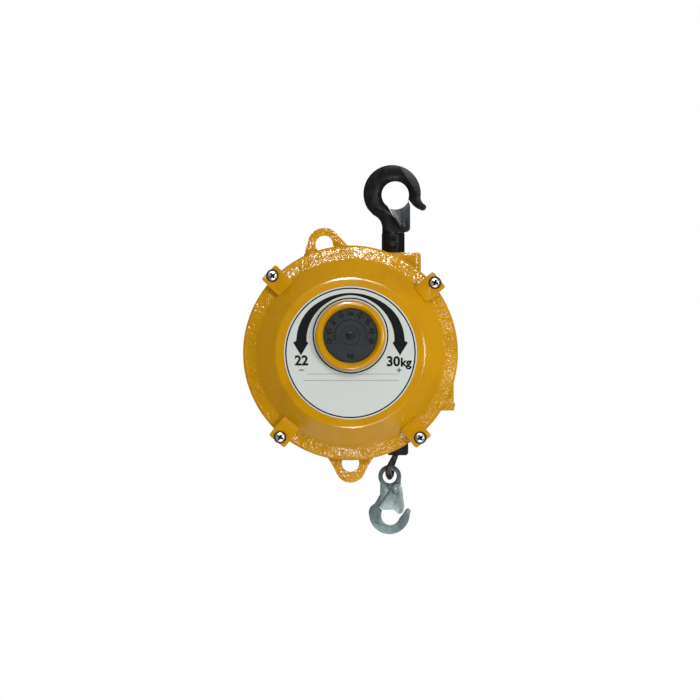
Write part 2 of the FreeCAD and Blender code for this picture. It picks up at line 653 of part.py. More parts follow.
def dial_gear():
    """Moulded disc with its hub and an internal ring of teeth at the back."""
    web = rod_y(DIAL_R - 0.4, WEB_Y, WEB_Y + WEB)
    rim = rod_y(DIAL_R - 0.4, WEB_Y + WEB, RING_BACK_Y)
    space = gear_outline(RING_TEETH, GEAR_MODULE, 1.25 * GEAR_MODULE, 0.9 * GEAR_MODULE,
                         -TOOTH_PLAY)
    rim = rim.cut(prism_y(space, WEB_Y + WEB - 1, RING_BACK_Y + 1))
    hub = rod_y(DIAL_HUB_R - GAP / 2, DIAL_FRONT_Y - 0.4, RING_BACK_Y)
    bore = rod_y(DIAL_AXLE_R + RUN, DIAL_FRONT_Y - 2, RING_BACK_Y + 1)
    gear = web.fuse(rim).fuse(hub).cut(bore)
    gear.translate(vec(0, 0, DIAL_Z))
    return gear.removeSplitter()


def dial_screw():
    """Shoulder screw that is the dial's axle."""
    top = DIAL_FRONT_Y - 0.4 - GAP / 2
    head_r = 1.6 * DIAL_AXLE_R
    head = pan_screw(0, DIAL_Z, top, DIAL_AXLE_R, head_r, DIAL_HEAD, DIAL_FLOOR_Y - top)
    thread = rod_y(DIAL_THREAD_R, DIAL_FLOOR_Y - 0.5, FACE_Y + 8, 0, DIAL_Z)
    return head.fuse(thread).removeSplitter()


# Spring side

def hub_pinion_y():
    return WEB_Y + WEB + GAP, RING_BACK_Y - GAP


def spring_case():
    """Cup for the main spring, with the worm wheel round its rim and the dial pinion on its hub."""
    back = SPRING_BACK_Y
    root_r = WHEEL_R - 1.2 * WORM_MODULE
    inner = SPRING_CASE_R - SPRING_WALL
    shoulder_y = FRONT_BEARING_Y + FRONT_BEARING[1] + GAP / 2
    cup = turned_y([
        (0, SPRING_FRONT_Y), (SPRING_CASE_R - 3, SPRING_FRONT_Y),
        (SPRING_CASE_R, SPRING_FRONT_Y + 3), (SPRING_CASE_R, back - WHEEL_WIDTH - 5),
        (root_r - 1, back - WHEEL_WIDTH), (root_r - 1, back), (inner, back),
        (inner, SPRING_FRONT_Y + 4), (0, SPRING_FRONT_Y + 4),
    ])
    hub = turned_y([
        (0, DIAL_FLOOR_Y + 0.6), (HUB_R - RUN, DIAL_FLOOR_Y + 0.6), (HUB_R - RUN, shoulder_y),
        (HUB_R + 3, shoulder_y), (HUB_R + 8, SPRING_FRONT_Y + 1), (0, SPRING_FRONT_Y + 1),
    ])
    front, rear = hub_pinion_y()
    teeth = gear_outline(PINION_TEETH, GEAR_MODULE, 0.9 * GEAR_MODULE, 1.2 * GEAR_MODULE,
                         TOOTH_PLAY)
    pinion = prism_y(teeth, front, rear)
    neck = rod_y(4.6, rear, DIAL_FLOOR_Y + 1)
    bore = rod_y(HUB_BUSH_R, DIAL_FLOOR_Y + 2.6, SPRING_FRONT_Y + 5)
    cup = cup.fuse(hub).fuse(pinion).fuse(neck).cut(bore)
    cup = cup.fuse(worm_wheel(root_r - 2))
    for x, z in lid_screw_places():
        cup = cup.cut(rod_y(CAP_SCREW_R, back - 9, back + 1, x, z))
    return cup.removeSplitter()


def worm_wheel(inner_r):
    """Ring of teeth skewed to the worm's lead angle."""
    lead = math.atan(WORM_MODULE / (2 * WORM_PITCH_R))
    half = WHEEL_WIDTH / 2
    skew = math.degrees(half * math.tan(lead) / WHEEL_R)
    points = gear_outline(WHEEL_TEETH, WORM_MODULE, 0.85 * WORM_MODULE, 1.2 * WORM_MODULE, 0.5, 2)
    corners = [vec(x, WORM_Y, z) for x, z in points]
    middle = Part.makePolygon(corners + corners[:1])
    ends = []
    for side in (-1, 1):
        end = about_y(middle, -side * skew)
        end.translate(vec(0, side * half, 0))
        ends.append(end)
    ring = Part.makeLoft(ends, True, True)
    return ring.cut(rod_y(inner_r, WORM_Y - half - 1, WORM_Y + half + 1))


def lid_screw_places():
    return [polar(LID_SCREW_PCD_R, 360 / LID_SCREWS * k) for k in range(LID_SCREWS)]


def spring_lid():
    """Ring that closes the spring case round the arbor."""
    lid = rod_y(SPRING_CASE_R + 6, SPRING_BACK_Y, SPRING_BACK_Y + LID)
    lid = lid.cut(rod_y(ARBOR_R + 2, SPRING_BACK_Y - 1, SPRING_BACK_Y + LID + 1))
    for x, z in lid_screw_places():
        cone = turned_y([
            (0, SPRING_BACK_Y - 1), (CAP_SCREW_R, SPRING_BACK_Y - 1),
            (CAP_SCREW_R, SPRING_BACK_Y + 1), (CAP_SCREW_R * 2, SPRING_BACK_Y + LID),
            (CAP_SCREW_R * 2, SPRING_BACK_Y + LID + 1), (0, SPRING_BACK_Y + LID + 1),
        ], x, z)
        lid = lid.cut(cone)
    return lid


def lid_screws():
    """Countersunk screws of the spring case's lid."""
    back = SPRING_BACK_Y
    screws = []
    for x, z in lid_screw_places():
        screws.append(turned_y([
            (0, back - 8), (CAP_SCREW_R, back - 8), (CAP_SCREW_R, back + 1),
            (CAP_SCREW_R * 2 - 0.1, back + LID - 0.1), (0, back + LID - 0.1),
        ], x, z))
    return Part.makeCompound(screws)


def main_spring():
    """Flat spiral strip from the shaft's arbor out to the spring case's wall."""
    inner = ARBOR_R + GAP
    outer = SPRING_CASE_R - SPRING_WALL - SPRING_STRIP - GAP
    steps = 24 * SPRING_COILS
    spots = []
    for side in (0.0, SPRING_STRIP):
        edge = []
        for k in range(steps + 1):
            edge.append(polar(inner + side + (outer - inner) * k / steps, 15 * k))
        spots.append(edge)
    return prism_y(spots[0] + spots[1][::-1], SPRING_FRONT_Y + 5, SPRING_BACK_Y - 1)


# Shaft and drum

def main_shaft():
    """Stepped shaft: front journal, spring arbor, drum seat with keyway, rear bearing seat."""
    front = FRONT_BEARING_Y + 1
    drum_y = DRUM_FRONT_Y
    end = REAR_BEARING_Y + REAR_BEARING[1] + 3
    shaft = turned_y([
        (0, front), (JOURNAL_R - 1, front), (JOURNAL_R, front + 1), (JOURNAL_R, SPRING_FRONT_Y + 4.4),
        (ARBOR_R, SPRING_FRONT_Y + 4.4), (ARBOR_R, drum_y), (SHAFT_R, drum_y),
        (SHAFT_R, REAR_BEARING_Y - GAP / 2), (SHAFT_END_R, REAR_BEARING_Y - GAP / 2),
        (SHAFT_END_R, end - 1),
        (SHAFT_END_R - 1, end), (0, end),
    ])
    keyway = block(-KEY / 2, KEY / 2, drum_y + 8, drum_y + 8 + KEY_LENGTH, SHAFT_R - 3.5, SHAFT_R + 1)
    groove_y = circlip_y()
    groove = rod_y(SHAFT_END_R + 1, groove_y, groove_y + CIRCLIP)
    groove = groove.cut(rod_y(SHAFT_END_R - 0.8, groove_y - 1, groove_y + CIRCLIP + 1))
    return shaft.cut(keyway).cut(groove)


def circlip_y():
    return REAR_BEARING_Y + REAR_BEARING[1] + GAP / 2


def shaft_key():
    front = DRUM_FRONT_Y + 8
    return block(-KEY / 2, KEY / 2, front, front + KEY_LENGTH, SHAFT_R - 3.5, SHAFT_R + 2.5)


def rope_drum():
    """Cone between a ratchet flange and a plain flange, on a ribbed hub."""
    start = DRUM_FRONT_Y + DRUM_FLANGE
    end = start + GROOVE_PITCH * (ROPE_TURNS + 1)
    rear = end + DRUM_REAR_FLANGE
    slope = CONE_RISE / (GROOVE_PITCH * (ROPE_TURNS - 1))

    def bottom(y):
        return DRUM_SMALL_R + slope * (y - start - GROOVE_PITCH)

    profile = [(SHAFT_R + 9, DRUM_FRONT_Y), (DRUM_FLANGE_R, DRUM_FRONT_Y), (DRUM_FLANGE_R, start),
               (bottom(start), start), (bottom(end), end), (DRUM_FLANGE_R, end),
               (DRUM_FLANGE_R, rear), (DRUM_FLANGE_R - 14, rear),
               (DRUM_SMALL_R - 6, start + 4), (SHAFT_R + 9, start + 4)]
    drum = turned_y(profile)
    hub = rod_y(SHAFT_R + 9, DRUM_FRONT_Y, end)
    drum = drum.fuse(hub)
    for k in range(RIBS):
        rib = block(SHAFT_R + 8, DRUM_SMALL_R - 3, start + 3, end - 2, -RIB / 2, RIB / 2)
        drum = drum.fuse(about_y(rib, 360 / RIBS * k))
    drum = drum.cut(rod_y(SHAFT_R, DRUM_FRONT_Y - 1, rear + 1))
    drum = drum.cut(block(-KEY / 2, KEY / 2, DRUM_FRONT_Y - 1, rear + 1, 0, SHAFT_R + 2.5))
    for k in range(RATCHET_TEETH):
        drum = drum.cut(about_y(ratchet_notch(), PAWL_TIP_ANGLE + 360 / RATCHET_TEETH * k))
    return drum.removeSplitter()


def ratchet_notch():
    """Saw-tooth gap at angle 0: one steep wall for the pawl, one long ramp."""
    steep = 0.8
    foot = DRUM_FLANGE_R - RATCHET_DEPTH
    points = [(foot, steep), (DRUM_FLANGE_R + 1, steep), (DRUM_FLANGE_R + 1, -17), (foot, -9)]
    return prism_y(points, DRUM_FRONT_Y - 1, DRUM_FRONT_Y + DRUM_FLANGE + 0.01)


def wound_rope():
    """The turns of rope lying in the drum's grooves, paid-out end at the small end."""
    start = DRUM_FRONT_Y + DRUM_FLANGE
    base = vec(0, start + GROOVE_PITCH, 0)
    radius = DRUM_SMALL_R + ROPE_R + ROPE_LIFT
    return coil(radius, GROOVE_PITCH, ROPE_TURNS - 1, ROPE_R, base, CONE_RISE)


def bearing(size, y0, bore_r):
    """Shielded ball bearing as one turned solid with its shield grooves."""
    outer_r, width = size
    step = (outer_r - bore_r) / 4
    sunk = 0.6
    y1 = y0 + width
    return turned_y([
        (bore_r, y0), (bore_r + step, y0), (bore_r + step, y0 + sunk), (outer_r - step, y0 + sunk),
        (outer_r - step, y0), (outer_r, y0), (outer_r, y1), (outer_r - step, y1),
        (outer_r - step, y1 - sunk), (bore_r + step, y1 - sunk), (bore_r + step, y1), (bore_r, y1),
    ])


def front_bearing():
    return bearing(FRONT_BEARING, FRONT_BEARING_Y, HUB_R)


def rear_bearing():
    return bearing(REAR_BEARING, REAR_BEARING_Y, SHAFT_END_R + RUN)


def hub_bush():
    """Plain bush inside the hub, on the shaft's front journal."""
    bush = rod_y(HUB_BUSH_R, FRONT_BEARING_Y + 1, SPRING_FRONT_Y + 4)
    return bush.cut(rod_y(JOURNAL_R + RUN, FRONT_BEARING_Y, SPRING_FRONT_Y + 5))


def shaft_circlip():
    y0 = circlip_y()
    ring = rod_y(SHAFT_END_R + 2, y0, y0 + CIRCLIP)
    ring = ring.cut(rod_y(SHAFT_END_R - 0.8, y0 - 1, y0 + 2))
    return ring.cut(block(-2.5, 2.5, y0 - 1, y0 + 2, 0, SHAFT_END_R + 4))


def bearing_cap():
    """Dished cap over the rear bearing."""
    y0 = REAR_BEARING_Y + REAR_BEARING[1]
    rim_r = REAR_BEARING[0] + BEARING_SHOULDER
    cap = turned_y([
        (0, y0 + 4.5), (SHAFT_END_R + 4, y0 + 4.5), (SHAFT_END_R + 4, y0), (rim_r, y0),
        (rim_r, y0 + CAP_FLANGE - 0.6), (rim_r - 0.6, y0 + CAP_FLANGE),
        (SHAFT_END_R + 8, y0 + CAP_FLANGE),
        (SHAFT_END_R + 6, y0 + 7), (0, y0 + 7),
    ])
    for x, z in cap_screw_places():
        cap = cap.cut(rod_y(CAP_SCREW_R + BOLT_GAP, y0 - 1, y0 + 8, x, z))
    return cap


def cap_screws():
    seat = REAR_BEARING_Y + REAR_BEARING[1] + CAP_FLANGE
    return Part.makeCompound([
        back_screw(x, z, seat, CAP_SCREW_R, 3.4, 2.6, 10) for x, z in cap_screw_places()
    ])


# Worm

def worm():
    """Single-start worm with two journals and a hexagon socket at its lower end."""
    pitch = math.pi * WORM_MODULE
    root_r = WORM_PITCH_R - 1.2 * WORM_MODULE
    top = WORM_TOP_Z
    body = turned_z([
        (0, WORM_FOOT_Z - WORM_CAP + 0.6), (WORM_JOURNAL_R, WORM_FOOT_Z - WORM_CAP + 0.6),
        (WORM_JOURNAL_R, WORM_COLLAR_Z), (root_r + 3, WORM_COLLAR_Z),
        (root_r + 3, WORM_COLLAR_Z + 4), (root_r, WORM_COLLAR_Z + 8), (root_r, top - 0.5),
        (0, top - 0.5),
    ], WORM_X, WORM_Y)
    turns = WORM_TURNS
    steps = 18
    half = pitch / 4 - 0.15
    slope = math.tan(math.radians(20))
    depth = WORM_PITCH_R - root_r + 0.4
    tooth = [(-depth, -half - depth * slope), (WORM_MODULE, -half + WORM_MODULE * slope),
             (WORM_MODULE, half - WORM_MODULE * slope), (-depth, half + depth * slope)]
    sections = []
    for k in range(turns * steps + 1):
        x, y = polar(1, 360 * k / steps)
        rise = pitch * (k / steps - turns / 2 + 0.5)
        section = []
        for out, up in tooth:
            reach = WORM_PITCH_R + out
            section.append(vec(WORM_X + reach * x, WORM_Y + reach * y, rise + up))
        sections.append(section)
    thread = skinned(sections)
    key = [polar(WORM_SOCKET / math.sqrt(3), 60 * k) for k in range(6)]
    corners = [vec(WORM_X + x, WORM_Y + y, WORM_FOOT_Z - WORM_CAP - 1) for x, y in key]
    socket = Part.Face(Part.makePolygon(corners + corners[:1])).extrude(vec(0, 0, 9))
    return body.fuse(thread).cut(socket)


def worm_bush():
    low = WORM_TOP_Z - BUSH_LENGTH
    bush = rod_z(WORM_BUSH_R, low, WORM_TOP_Z, WORM_X, WORM_Y)
    return bush.cut(rod_z(WORM_JOURNAL_R + RUN, low - 1, WORM_TOP_Z + 1, WORM_X, WORM_Y))


def worm_cap():
    """Foot cap with a spigot that is the worm's lower bearing."""
    half = WORM_HALF
    low = WORM_FOOT_Z - WORM_CAP
    right = WORM_RIGHT_X + 0.6
    plate = block(WORM_X - half, right, WORM_Y - half, WORM_Y + half, low, WORM_FOOT_Z)
    edges = [e for e in plate.Edges if abs(e.BoundBox.ZLength - WORM_CAP) < 1e-6]
    plate = plate.makeFillet(4.0, edges)
    spigot_r = WORM_PITCH_R + WORM_MODULE + GAP
    cap = plate.fuse(rod_z(spigot_r, WORM_FOOT_Z - 1, WORM_COLLAR_Z - GAP, WORM_X, WORM_Y))
    cap = cap.cut(rod_z(WORM_JOURNAL_R + RUN, low - 1, WORM_COLLAR_Z + 1, WORM_X, WORM_Y))
    for x, y in worm_screws():
        cap = cap.cut(turned_z([
            (0, low - 1), (SUNK_R + 0.2, low - 1), (SUNK_R + 0.2, low),
            (CAP_SCREW_R + BOLT_GAP, low + 2), (CAP_SCREW_R + BOLT_GAP, low + 6), (0, low + 6),
        ], x, y))
    return cap


def worm_cap_screws():
    """Countersunk screws of the worm's foot cap."""
    low = WORM_FOOT_Z - WORM_CAP
    screws = []
    for x, y in worm_screws():
        screws.append(turned_z([
            (0, low + 0.2), (SUNK_R, low + 0.2), (CAP_SCREW_R, low + 2),
            (CAP_SCREW_R, low + 11), (0, low + 11),
        ], x, y))
    return Part.makeCompound(screws)


# Pawl


def lock_pawl():
    """Lever that drops into the drum's ratchet when the main spring fails."""
    tip_r = DRUM_FLANGE_R + PAWL_GAP
    tip = polar(tip_r, PAWL_TIP_ANGLE)
    back = polar(tip_r + 7, PAWL_TIP_ANGLE - 1)
    heel = polar(tip_r + 0.6, PAWL_TIP_ANGLE - 6)
    way = math.degrees(math.atan2(tip[1] - PAWL_PIN[1], tip[0] - PAWL_PIN[0]))
    outer = polar(PAWL_EYE_R - 0.5, way - 90, PAWL_PIN)
    inner = polar(PAWL_EYE_R - 0.5, way + 90, PAWL_PIN)
    eye = rod_y(PAWL_EYE_R, PAWL_Y - PAWL_EYE / 2, PAWL_Y + PAWL_EYE / 2, *PAWL_PIN)
    arm = prism_y([tip, back, outer, inner, heel], PAWL_Y - 2, PAWL_Y + 2)
    bore = rod_y(PAWL_PIN_HOLE_R + RUN, PAWL_Y - 9, PAWL_Y + 9, *PAWL_PIN)
    return eye.fuse(arm).cut(bore).removeSplitter()


def pawl_pin():
    far = PAWL_Y + PAWL_EYE / 2 + GAP + 7
    return rod_y(PAWL_PIN_HOLE_R, PAWL_Y - PAWL_EYE / 2 - GAP, far, *PAWL_PIN)


# Hanger and top hook

def at_hook(across, up):
    """Point (x, z) measured from the top hook's throat centre."""
    return HOOK_X + across, HOOK_Z + up


def upper_hook():
    """Forged hook, its shank down in the coupler; drawn about the throat's centre."""
    throat = at_hook(0, 0)
    bow = at_hook(-3.3, 1.3)
    neck_z = HANGER_TOP_Z
    half = HOOK_THICK / 2
    wire = outline((HOOK_X - 13.7, neck_z), [
        at_hook(-13.7, -34),
        (at_hook(-15.8, -27), at_hook(-22.6, -21.2)),
        polar(BOW_R, 212, bow),
        (polar(BOW_R, 105, bow), polar(BOW_R, -5, bow)),
        (at_hook(27.8, -7), at_hook(31, -10)),
        (at_hook(32.1, -14), at_hook(28.2, -16.2)),
        (at_hook(21.6, -13.2), at_hook(16.2, -7.8)),
        polar(THROAT_R, -18, throat),
        (polar(THROAT_R, 105, throat), polar(THROAT_R, 235, throat)),
        at_hook(-1.2, -23.4),
        at_hook(4.2, -27.6),
        polar(UPPER_BOSS_R, 100, UPPER_PIVOT),
        (polar(UPPER_BOSS_R, 10, UPPER_PIVOT), polar(UPPER_BOSS_R, -60, UPPER_PIVOT)),
        (HOOK_X + 9.4, neck_z),
    ])
    hook = plate_y(wire, ROPE_Y - half, ROPE_Y + half)
    for side in at_hook(-47.8, -164):
        face = ROPE_Y + side * half
        bevel = turned_y([
            (THROAT_R - 1, face + side), (THROAT_R + 5.8, face + side), (THROAT_R + 5.8, face),
            (THROAT_R, face - side * 3.6), (THROAT_R - 1, face - side * 3.6),
        ], *throat)
        hook = hook.cut(bevel)
        floor = face - side * 2.2
        pocket = prism_y([
            (HOOK_X - 5.8, neck_z + 1.2), at_hook(-5.8, -20.5), at_hook(-1.8, -25.5),
            at_hook(3.5, -29.6), (HOOK_X + 3.5, neck_z + 1.2),
        ], min(face, floor), max(face, floor))
        hook = hook.cut(pocket)
    slot = rod_y(UPPER_BOSS_R + 3, ROPE_Y - 2, ROPE_Y + 2, *UPPER_PIVOT)
    hook = hook.cut(slot)
    shank = rod_z(SHANK_R - 1, BOX_TOP_Z + 3, neck_z + 0.5, HANGER_X, ROPE_Y)
    hook = hook.fuse(shank)
    hook = hook.cut(rod_y(RIVET_R, ROPE_Y - 9, ROPE_Y + 9, *UPPER_PIVOT))
    hook = hook.cut(rod_y(CROSS_PIN_R, ROPE_Y - 20, ROPE_Y + 20, HANGER_X, CROSS_PIN_Z))
    return hook.removeSplitter()


def latch_channel(wire, core, inner_half, pivot):
    """Folded sheet latch: two cheeks and a web, as a plate hollowed by its core."""
    outer_half = inner_half + LATCH_SHEET
    cheeks = plate_y(wire, ROPE_Y - outer_half, ROPE_Y + outer_half)
    cheeks = cheeks.cut(plate_y(core, ROPE_Y - inner_half, ROPE_Y + inner_half))
    return cheeks.cut(rod_y(RIVET_R + RUN, ROPE_Y - 12, ROPE_Y + 12, *pivot))


def upper_latch():
    """Latch across the top hook's throat, hollow at the hook's side."""
    edge = 15.6
    throat = at_hook(0, 0)
    arc_r = THROAT_R + 1.0
    foot = at_hook(edge, -35.5)
    wire = outline(foot, [
        at_hook(edge, -11.0), at_hook(13.1, -5.2), polar(arc_r, -28, throat),
        (polar(arc_r, -70, throat), polar(arc_r, -112, throat)),
        at_hook(4.8, -34.4), (polar(6.6, -70, UPPER_PIVOT), foot),
    ])
    inner = edge - LATCH_SHEET
    core = outline(at_hook(inner, -44.5), [
        at_hook(inner, -11.4), at_hook(11.2, -4.0), at_hook(-16.8, 0), at_hook(-16.8, -44.5),
    ])
    return latch_channel(wire, core, HOOK_THICK / 2 + LATCH_GAP, UPPER_PIVOT)


def rivet(pivot, half):
    """Domed rivet through a latch."""
    x, z = pivot
    reach = half + LATCH_GAP + LATCH_SHEET
    body = rod_y(RIVET_R, ROPE_Y - reach, ROPE_Y + reach, x, z)
    for side in (-1, 1):
        base = ROPE_Y + side * (reach + 0.1)
        head = turned_y([(0, base), (3.6, base), (3.4, base + side * 0.9), (2.2, base + side * 1.6),
                         (0, base + side * 1.8)], x, z)
        body = body.fuse(head).fuse(rod_y(RIVET_R, min(ROPE_Y, base), max(ROPE_Y, base), x, z))
    return body.removeSplitter()


def upper_rivet():
    return rivet(UPPER_PIVOT, HOOK_THICK / 2)


def load_rivet():
    return rivet(LOAD_PIVOT, LOAD_THICK / 2)


def torsion_spring(pivot):
    """Small coil round the rivet in the hook's slot."""
    x, z = pivot
    return coil(2.9, 1.0, 3, 0.4, vec(x, ROPE_Y - 1.5, z), steps=10, sides=5)


def hanger():
    """Round coupler that takes the hook's shank, with its own shank down through the box's roof."""
    z0 = BOX_TOP_Z + GAP / 2
    roof = BOX_TOP_Z - ROOF
    low = roof - WASHER - NUT_HEIGHT - 2
    body = turned_z([
        (0, low), (SHANK_R - 1, low), (SHANK_R, low + 1), (SHANK_R, z0), (HANGER_R - 0.6, z0),
        (HANGER_R, z0 + 0.6), (HANGER_R, HANGER_TOP_Z - 0.8), (HANGER_R - 0.8, HANGER_TOP_Z),
        (SHANK_R - 1, HANGER_TOP_Z), (SHANK_R - 1, BOX_TOP_Z + 3), (0, BOX_TOP_Z + 3),
    ], HANGER_X, ROPE_Y)
    return body.cut(rod_y(CROSS_PIN_R, ROPE_Y - 20, ROPE_Y + 20, HANGER_X, CROSS_PIN_Z))


def cross_pin():
    """Pin through coupler and shank, its ends upset."""
    half = HANGER_R - 0.6
    pin = rod_y(CROSS_PIN_R, ROPE_Y - half, ROPE_Y + half, HANGER_X, CROSS_PIN_Z)
    for side in (-1, 1):
        base = ROPE_Y + side * half
        head = turned_y([(0, base - side), (CROSS_PIN_R + 1.5, base - side),
                         (CROSS_PIN_R + 1.5, base + side * 0.8), (CROSS_PIN_R + 1, base + side * 1.4),
                         (0, base + side * 1.8)], HANGER_X, CROSS_PIN_Z)
        pin = pin.fuse(head)
    outside = rod_z(HANGER_R, CROSS_PIN_Z - 9, CROSS_PIN_Z + 9, HANGER_X, ROPE_Y)
    hole = rod_y(CROSS_PIN_R, ROPE_Y - 20, ROPE_Y + 20, HANGER_X, CROSS_PIN_Z)
    return pin.cut(outside.cut(hole)).removeSplitter()


def thrust_washer():
    roof = BOX_TOP_Z - ROOF
    ring = rod_z(NUT_R, roof - WASHER, roof - GAP / 2, HANGER_X, ROPE_Y)
    return ring.cut(rod_z(SHANK_R, roof - WASHER - 1, roof + 1, HANGER_X, ROPE_Y))


def hanger_nut():
    roof = BOX_TOP_Z - ROOF
    top = roof - WASHER
    corners = [polar(NUT_R, 60 * k) for k in range(6)]
    points = [vec(HANGER_X + x, ROPE_Y + y, top - NUT_HEIGHT) for x, y in corners]
    nut = Part.Face(Part.makePolygon(points + points[:1])).extrude(vec(0, 0, NUT_HEIGHT))
    return nut.cut(rod_z(SHANK_R, top - NUT_HEIGHT - 1, top + 1, HANGER_X, ROPE_Y))


def box_pin():
    """Roll pin in the hanger box."""
    y0 = ROPE_Y - BOX_HALF_Y
    pin = rod_y(BOX_PIN_R, y0 + 0.2, y0 + 10, *BOX_PIN)
    return pin.cut(rod_y(BOX_PIN_R - 0.7, y0 - 1, y0 + 9, *BOX_PIN))


# Rope and load hook


def at_eye(across, up):
    """Point (x, z) measured from the load hook's eye."""
    return EYE_X + across, EYE_Z + up


def rope_guide():
    """Hard bush that the rope runs through, its mouth flared both ways."""
    face = OUTLET_FACE_Z
    top = face + GUIDE_LENGTH
    bore = ROPE_R + 1.8
    return turned_z([
        (bore + 1, top), (BUSH_OUT_R, top), (BUSH_OUT_R, face), (BUSH_OUT_R - GAP, face),
        (FERRULE_R + 0.8, face), (FERRULE_R + 0.8, FERRULE_TOP_Z + 2),
        (bore, FERRULE_TOP_Z + 4), (bore, top - 4),
    ], OUTLET_X, ROPE_Y)


def rope_run():
    """Straight rope from the drum's small end down to the ferrule."""
    start = DRUM_FRONT_Y + DRUM_FLANGE + GROOVE_PITCH
    top = vec(DRUM_SMALL_R + ROPE_R + ROPE_LIFT, start, -0.5)
    low = vec(OUTLET_X, ROPE_Y, FERRULE_TOP_Z + GAP)
    way = low - top
    return Part.makeCylinder(ROPE_R, way.Length, top, way)


def across_loop(offset, x, height):
    """Point off the loop's middle line, across its plane, which stands a little turned from Y."""
    turn = math.radians(LOOP_TURN)
    return vec(x + offset * math.sin(turn), ROPE_Y + offset * math.cos(turn), height)


def leg_top(side):
    return across_loop(side * ROPE_R, OUTLET_X, FERRULE_BOTTOM_Z - LEG_DROP)


def rope_loop():
    """End loop: two legs from the ferrule and a bend through the hook's eye."""
    spots = [leg_top(-1)]
    steps = 12
    for k in range(steps + 1):
        offset, drop = polar(LOOP_R, 180 + 180 * k / steps)
        spots.append(across_loop(offset, EYE_X, LOOP_BEND_Z + drop))
    spots.append(leg_top(1))
    return wire_along(spots, ROPE_R, 10, vec(1, 0, 0))


def rope_thimble():
    """Bent channel that lines the loop's bend."""
    half = THIMBLE_WIDTH / 2

    def round_bend(radius, half_width):
        start = vec(EYE_X - half_width, ROPE_Y, LOOP_BEND_Z)
        return Part.makeCylinder(radius, 2 * half_width, start, X_AXIS)

    channel = round_bend(THIMBLE_R + THIMBLE_LIP, half).cut(round_bend(THIMBLE_R, half + 1))
    bed = Part.makeTorus(LOOP_R, ROPE_R + 3 * RUN, vec(EYE_X, ROPE_Y, LOOP_BEND_Z), X_AXIS)
    upper = block(EYE_X - 10, EYE_X + 10, ROPE_Y - 20, ROPE_Y + 20, LOOP_BEND_Z, LOOP_BEND_Z + 30)
    channel = channel.cut(bed).cut(upper)
    channel.rotate(vec(EYE_X, ROPE_Y, 0), Z_AXIS, -LOOP_TURN)
    return channel


def ferrule():
    """Pressed sleeve that holds the loop's tail."""
    return rod_z(FERRULE_R, FERRULE_BOTTOM_Z, FERRULE_TOP_Z, OUTLET_X, ROPE_Y)


def bumper():
    """Rubber buffer that meets the case's outlet when the rope is drawn in."""
    top = OUTLET_FACE_Z - GAP
    low = BUMPER_BOTTOM_Z
    body = turned_z([
        (0, low), (BUMPER_R - 2, low), (BUMPER_R, low + 2), (BUMPER_R, top - 1.2),
        (BUMPER_R - 1.2, top), (0, top),
    ], BUMPER_X, ROPE_Y)
    body = body.cut(rod_z(FERRULE_R, FERRULE_BOTTOM_Z, FERRULE_TOP_Z + 1, OUTLET_X, ROPE_Y))
    mouth = block(OUTLET_X - ROPE_R - 2.6, OUTLET_X + ROPE_R + 1.6,
                  ROPE_Y - FERRULE_R - 1.8, ROPE_Y + FERRULE_R + 1.8, low - 1, FERRULE_BOTTOM_Z)
    return body.cut(mouth).removeSplitter()


def load_hook():
    """Eye hook with a broad neck and a round bowl, drawn about its eye."""
    bowl = at_eye(-0.3, -39.1)
    throat = at_eye(0.8, -41)
    eye = at_eye(0, 0)
    half = LOAD_THICK / 2
    wire = outline(polar(EYE_R, 215, eye), [
        at_eye(-10.1, -19),
        at_eye(-15.8, -28.6),
        (polar(LOAD_BOWL_R, 163, bowl), polar(LOAD_BOWL_R, 185, bowl)),
        (polar(LOAD_BOWL_R, 272, bowl), polar(LOAD_BOWL_R, 2, bowl)),
        (at_eye(19.4, -33.5), at_eye(16.6, -34.8)),
        at_eye(13.6, -39.6),
        polar(LOAD_THROAT_R, -14, throat),
        (polar(LOAD_THROAT_R, -95, throat), polar(LOAD_THROAT_R, 178, throat)),
        at_eye(-7.4, -31.5),
        at_eye(1.4, -20.6),
        polar(LOAD_BOSS_R, 235, LOAD_PIVOT),
        (polar(LOAD_BOSS_R, 300, LOAD_PIVOT), polar(LOAD_BOSS_R, 0, LOAD_PIVOT)),
        polar(EYE_R, -12, eye),
        (polar(EYE_R, 90, eye), polar(EYE_R, 215, eye)),
    ])
    hook = plate_y(wire, ROPE_Y - half, ROPE_Y + half)
    hook = hook.cut(rod_y(EYE_HOLE_R, ROPE_Y - 9, ROPE_Y + 9, *eye))
    hook = hook.cut(rod_y(LOAD_BOSS_R + 3, ROPE_Y - 2, ROPE_Y + 2, *LOAD_PIVOT))
    return hook.cut(rod_y(RIVET_R, ROPE_Y - 9, ROPE_Y + 9, *LOAD_PIVOT))


def load_latch():
    """Latch across the load hook's throat, its web outwards."""
    wire = outline(at_eye(3.3, -10.4), [
        (at_eye(8, -7.9), at_eye(12.9, -11.6)),
        at_eye(15.3, -31.4), at_eye(14.4, -35.2),
        (at_eye(11.4, -39), at_eye(7.3, -38.6)),
        (at_eye(4.4, -35.4), at_eye(0.8, -34.9)),
        at_eye(-8.7, -35.1), at_eye(-11.4, -32.6),
    ])
    core = outline(at_eye(-11, -1), [
        at_eye(11.7, -1), at_eye(11.75, -11.6), at_eye(13.9, -31.3), at_eye(11.6, -43),
        at_eye(-21, -43),
    ])
    return latch_channel(wire, core, LOAD_THICK / 2 + LATCH_GAP, LOAD_PIVOT)


def write(name, shape):
    placed = shape.copy()
    placed.translate(ORIGIN_SHIFT)
    placed.exportStep(f"parts/{name}.step")


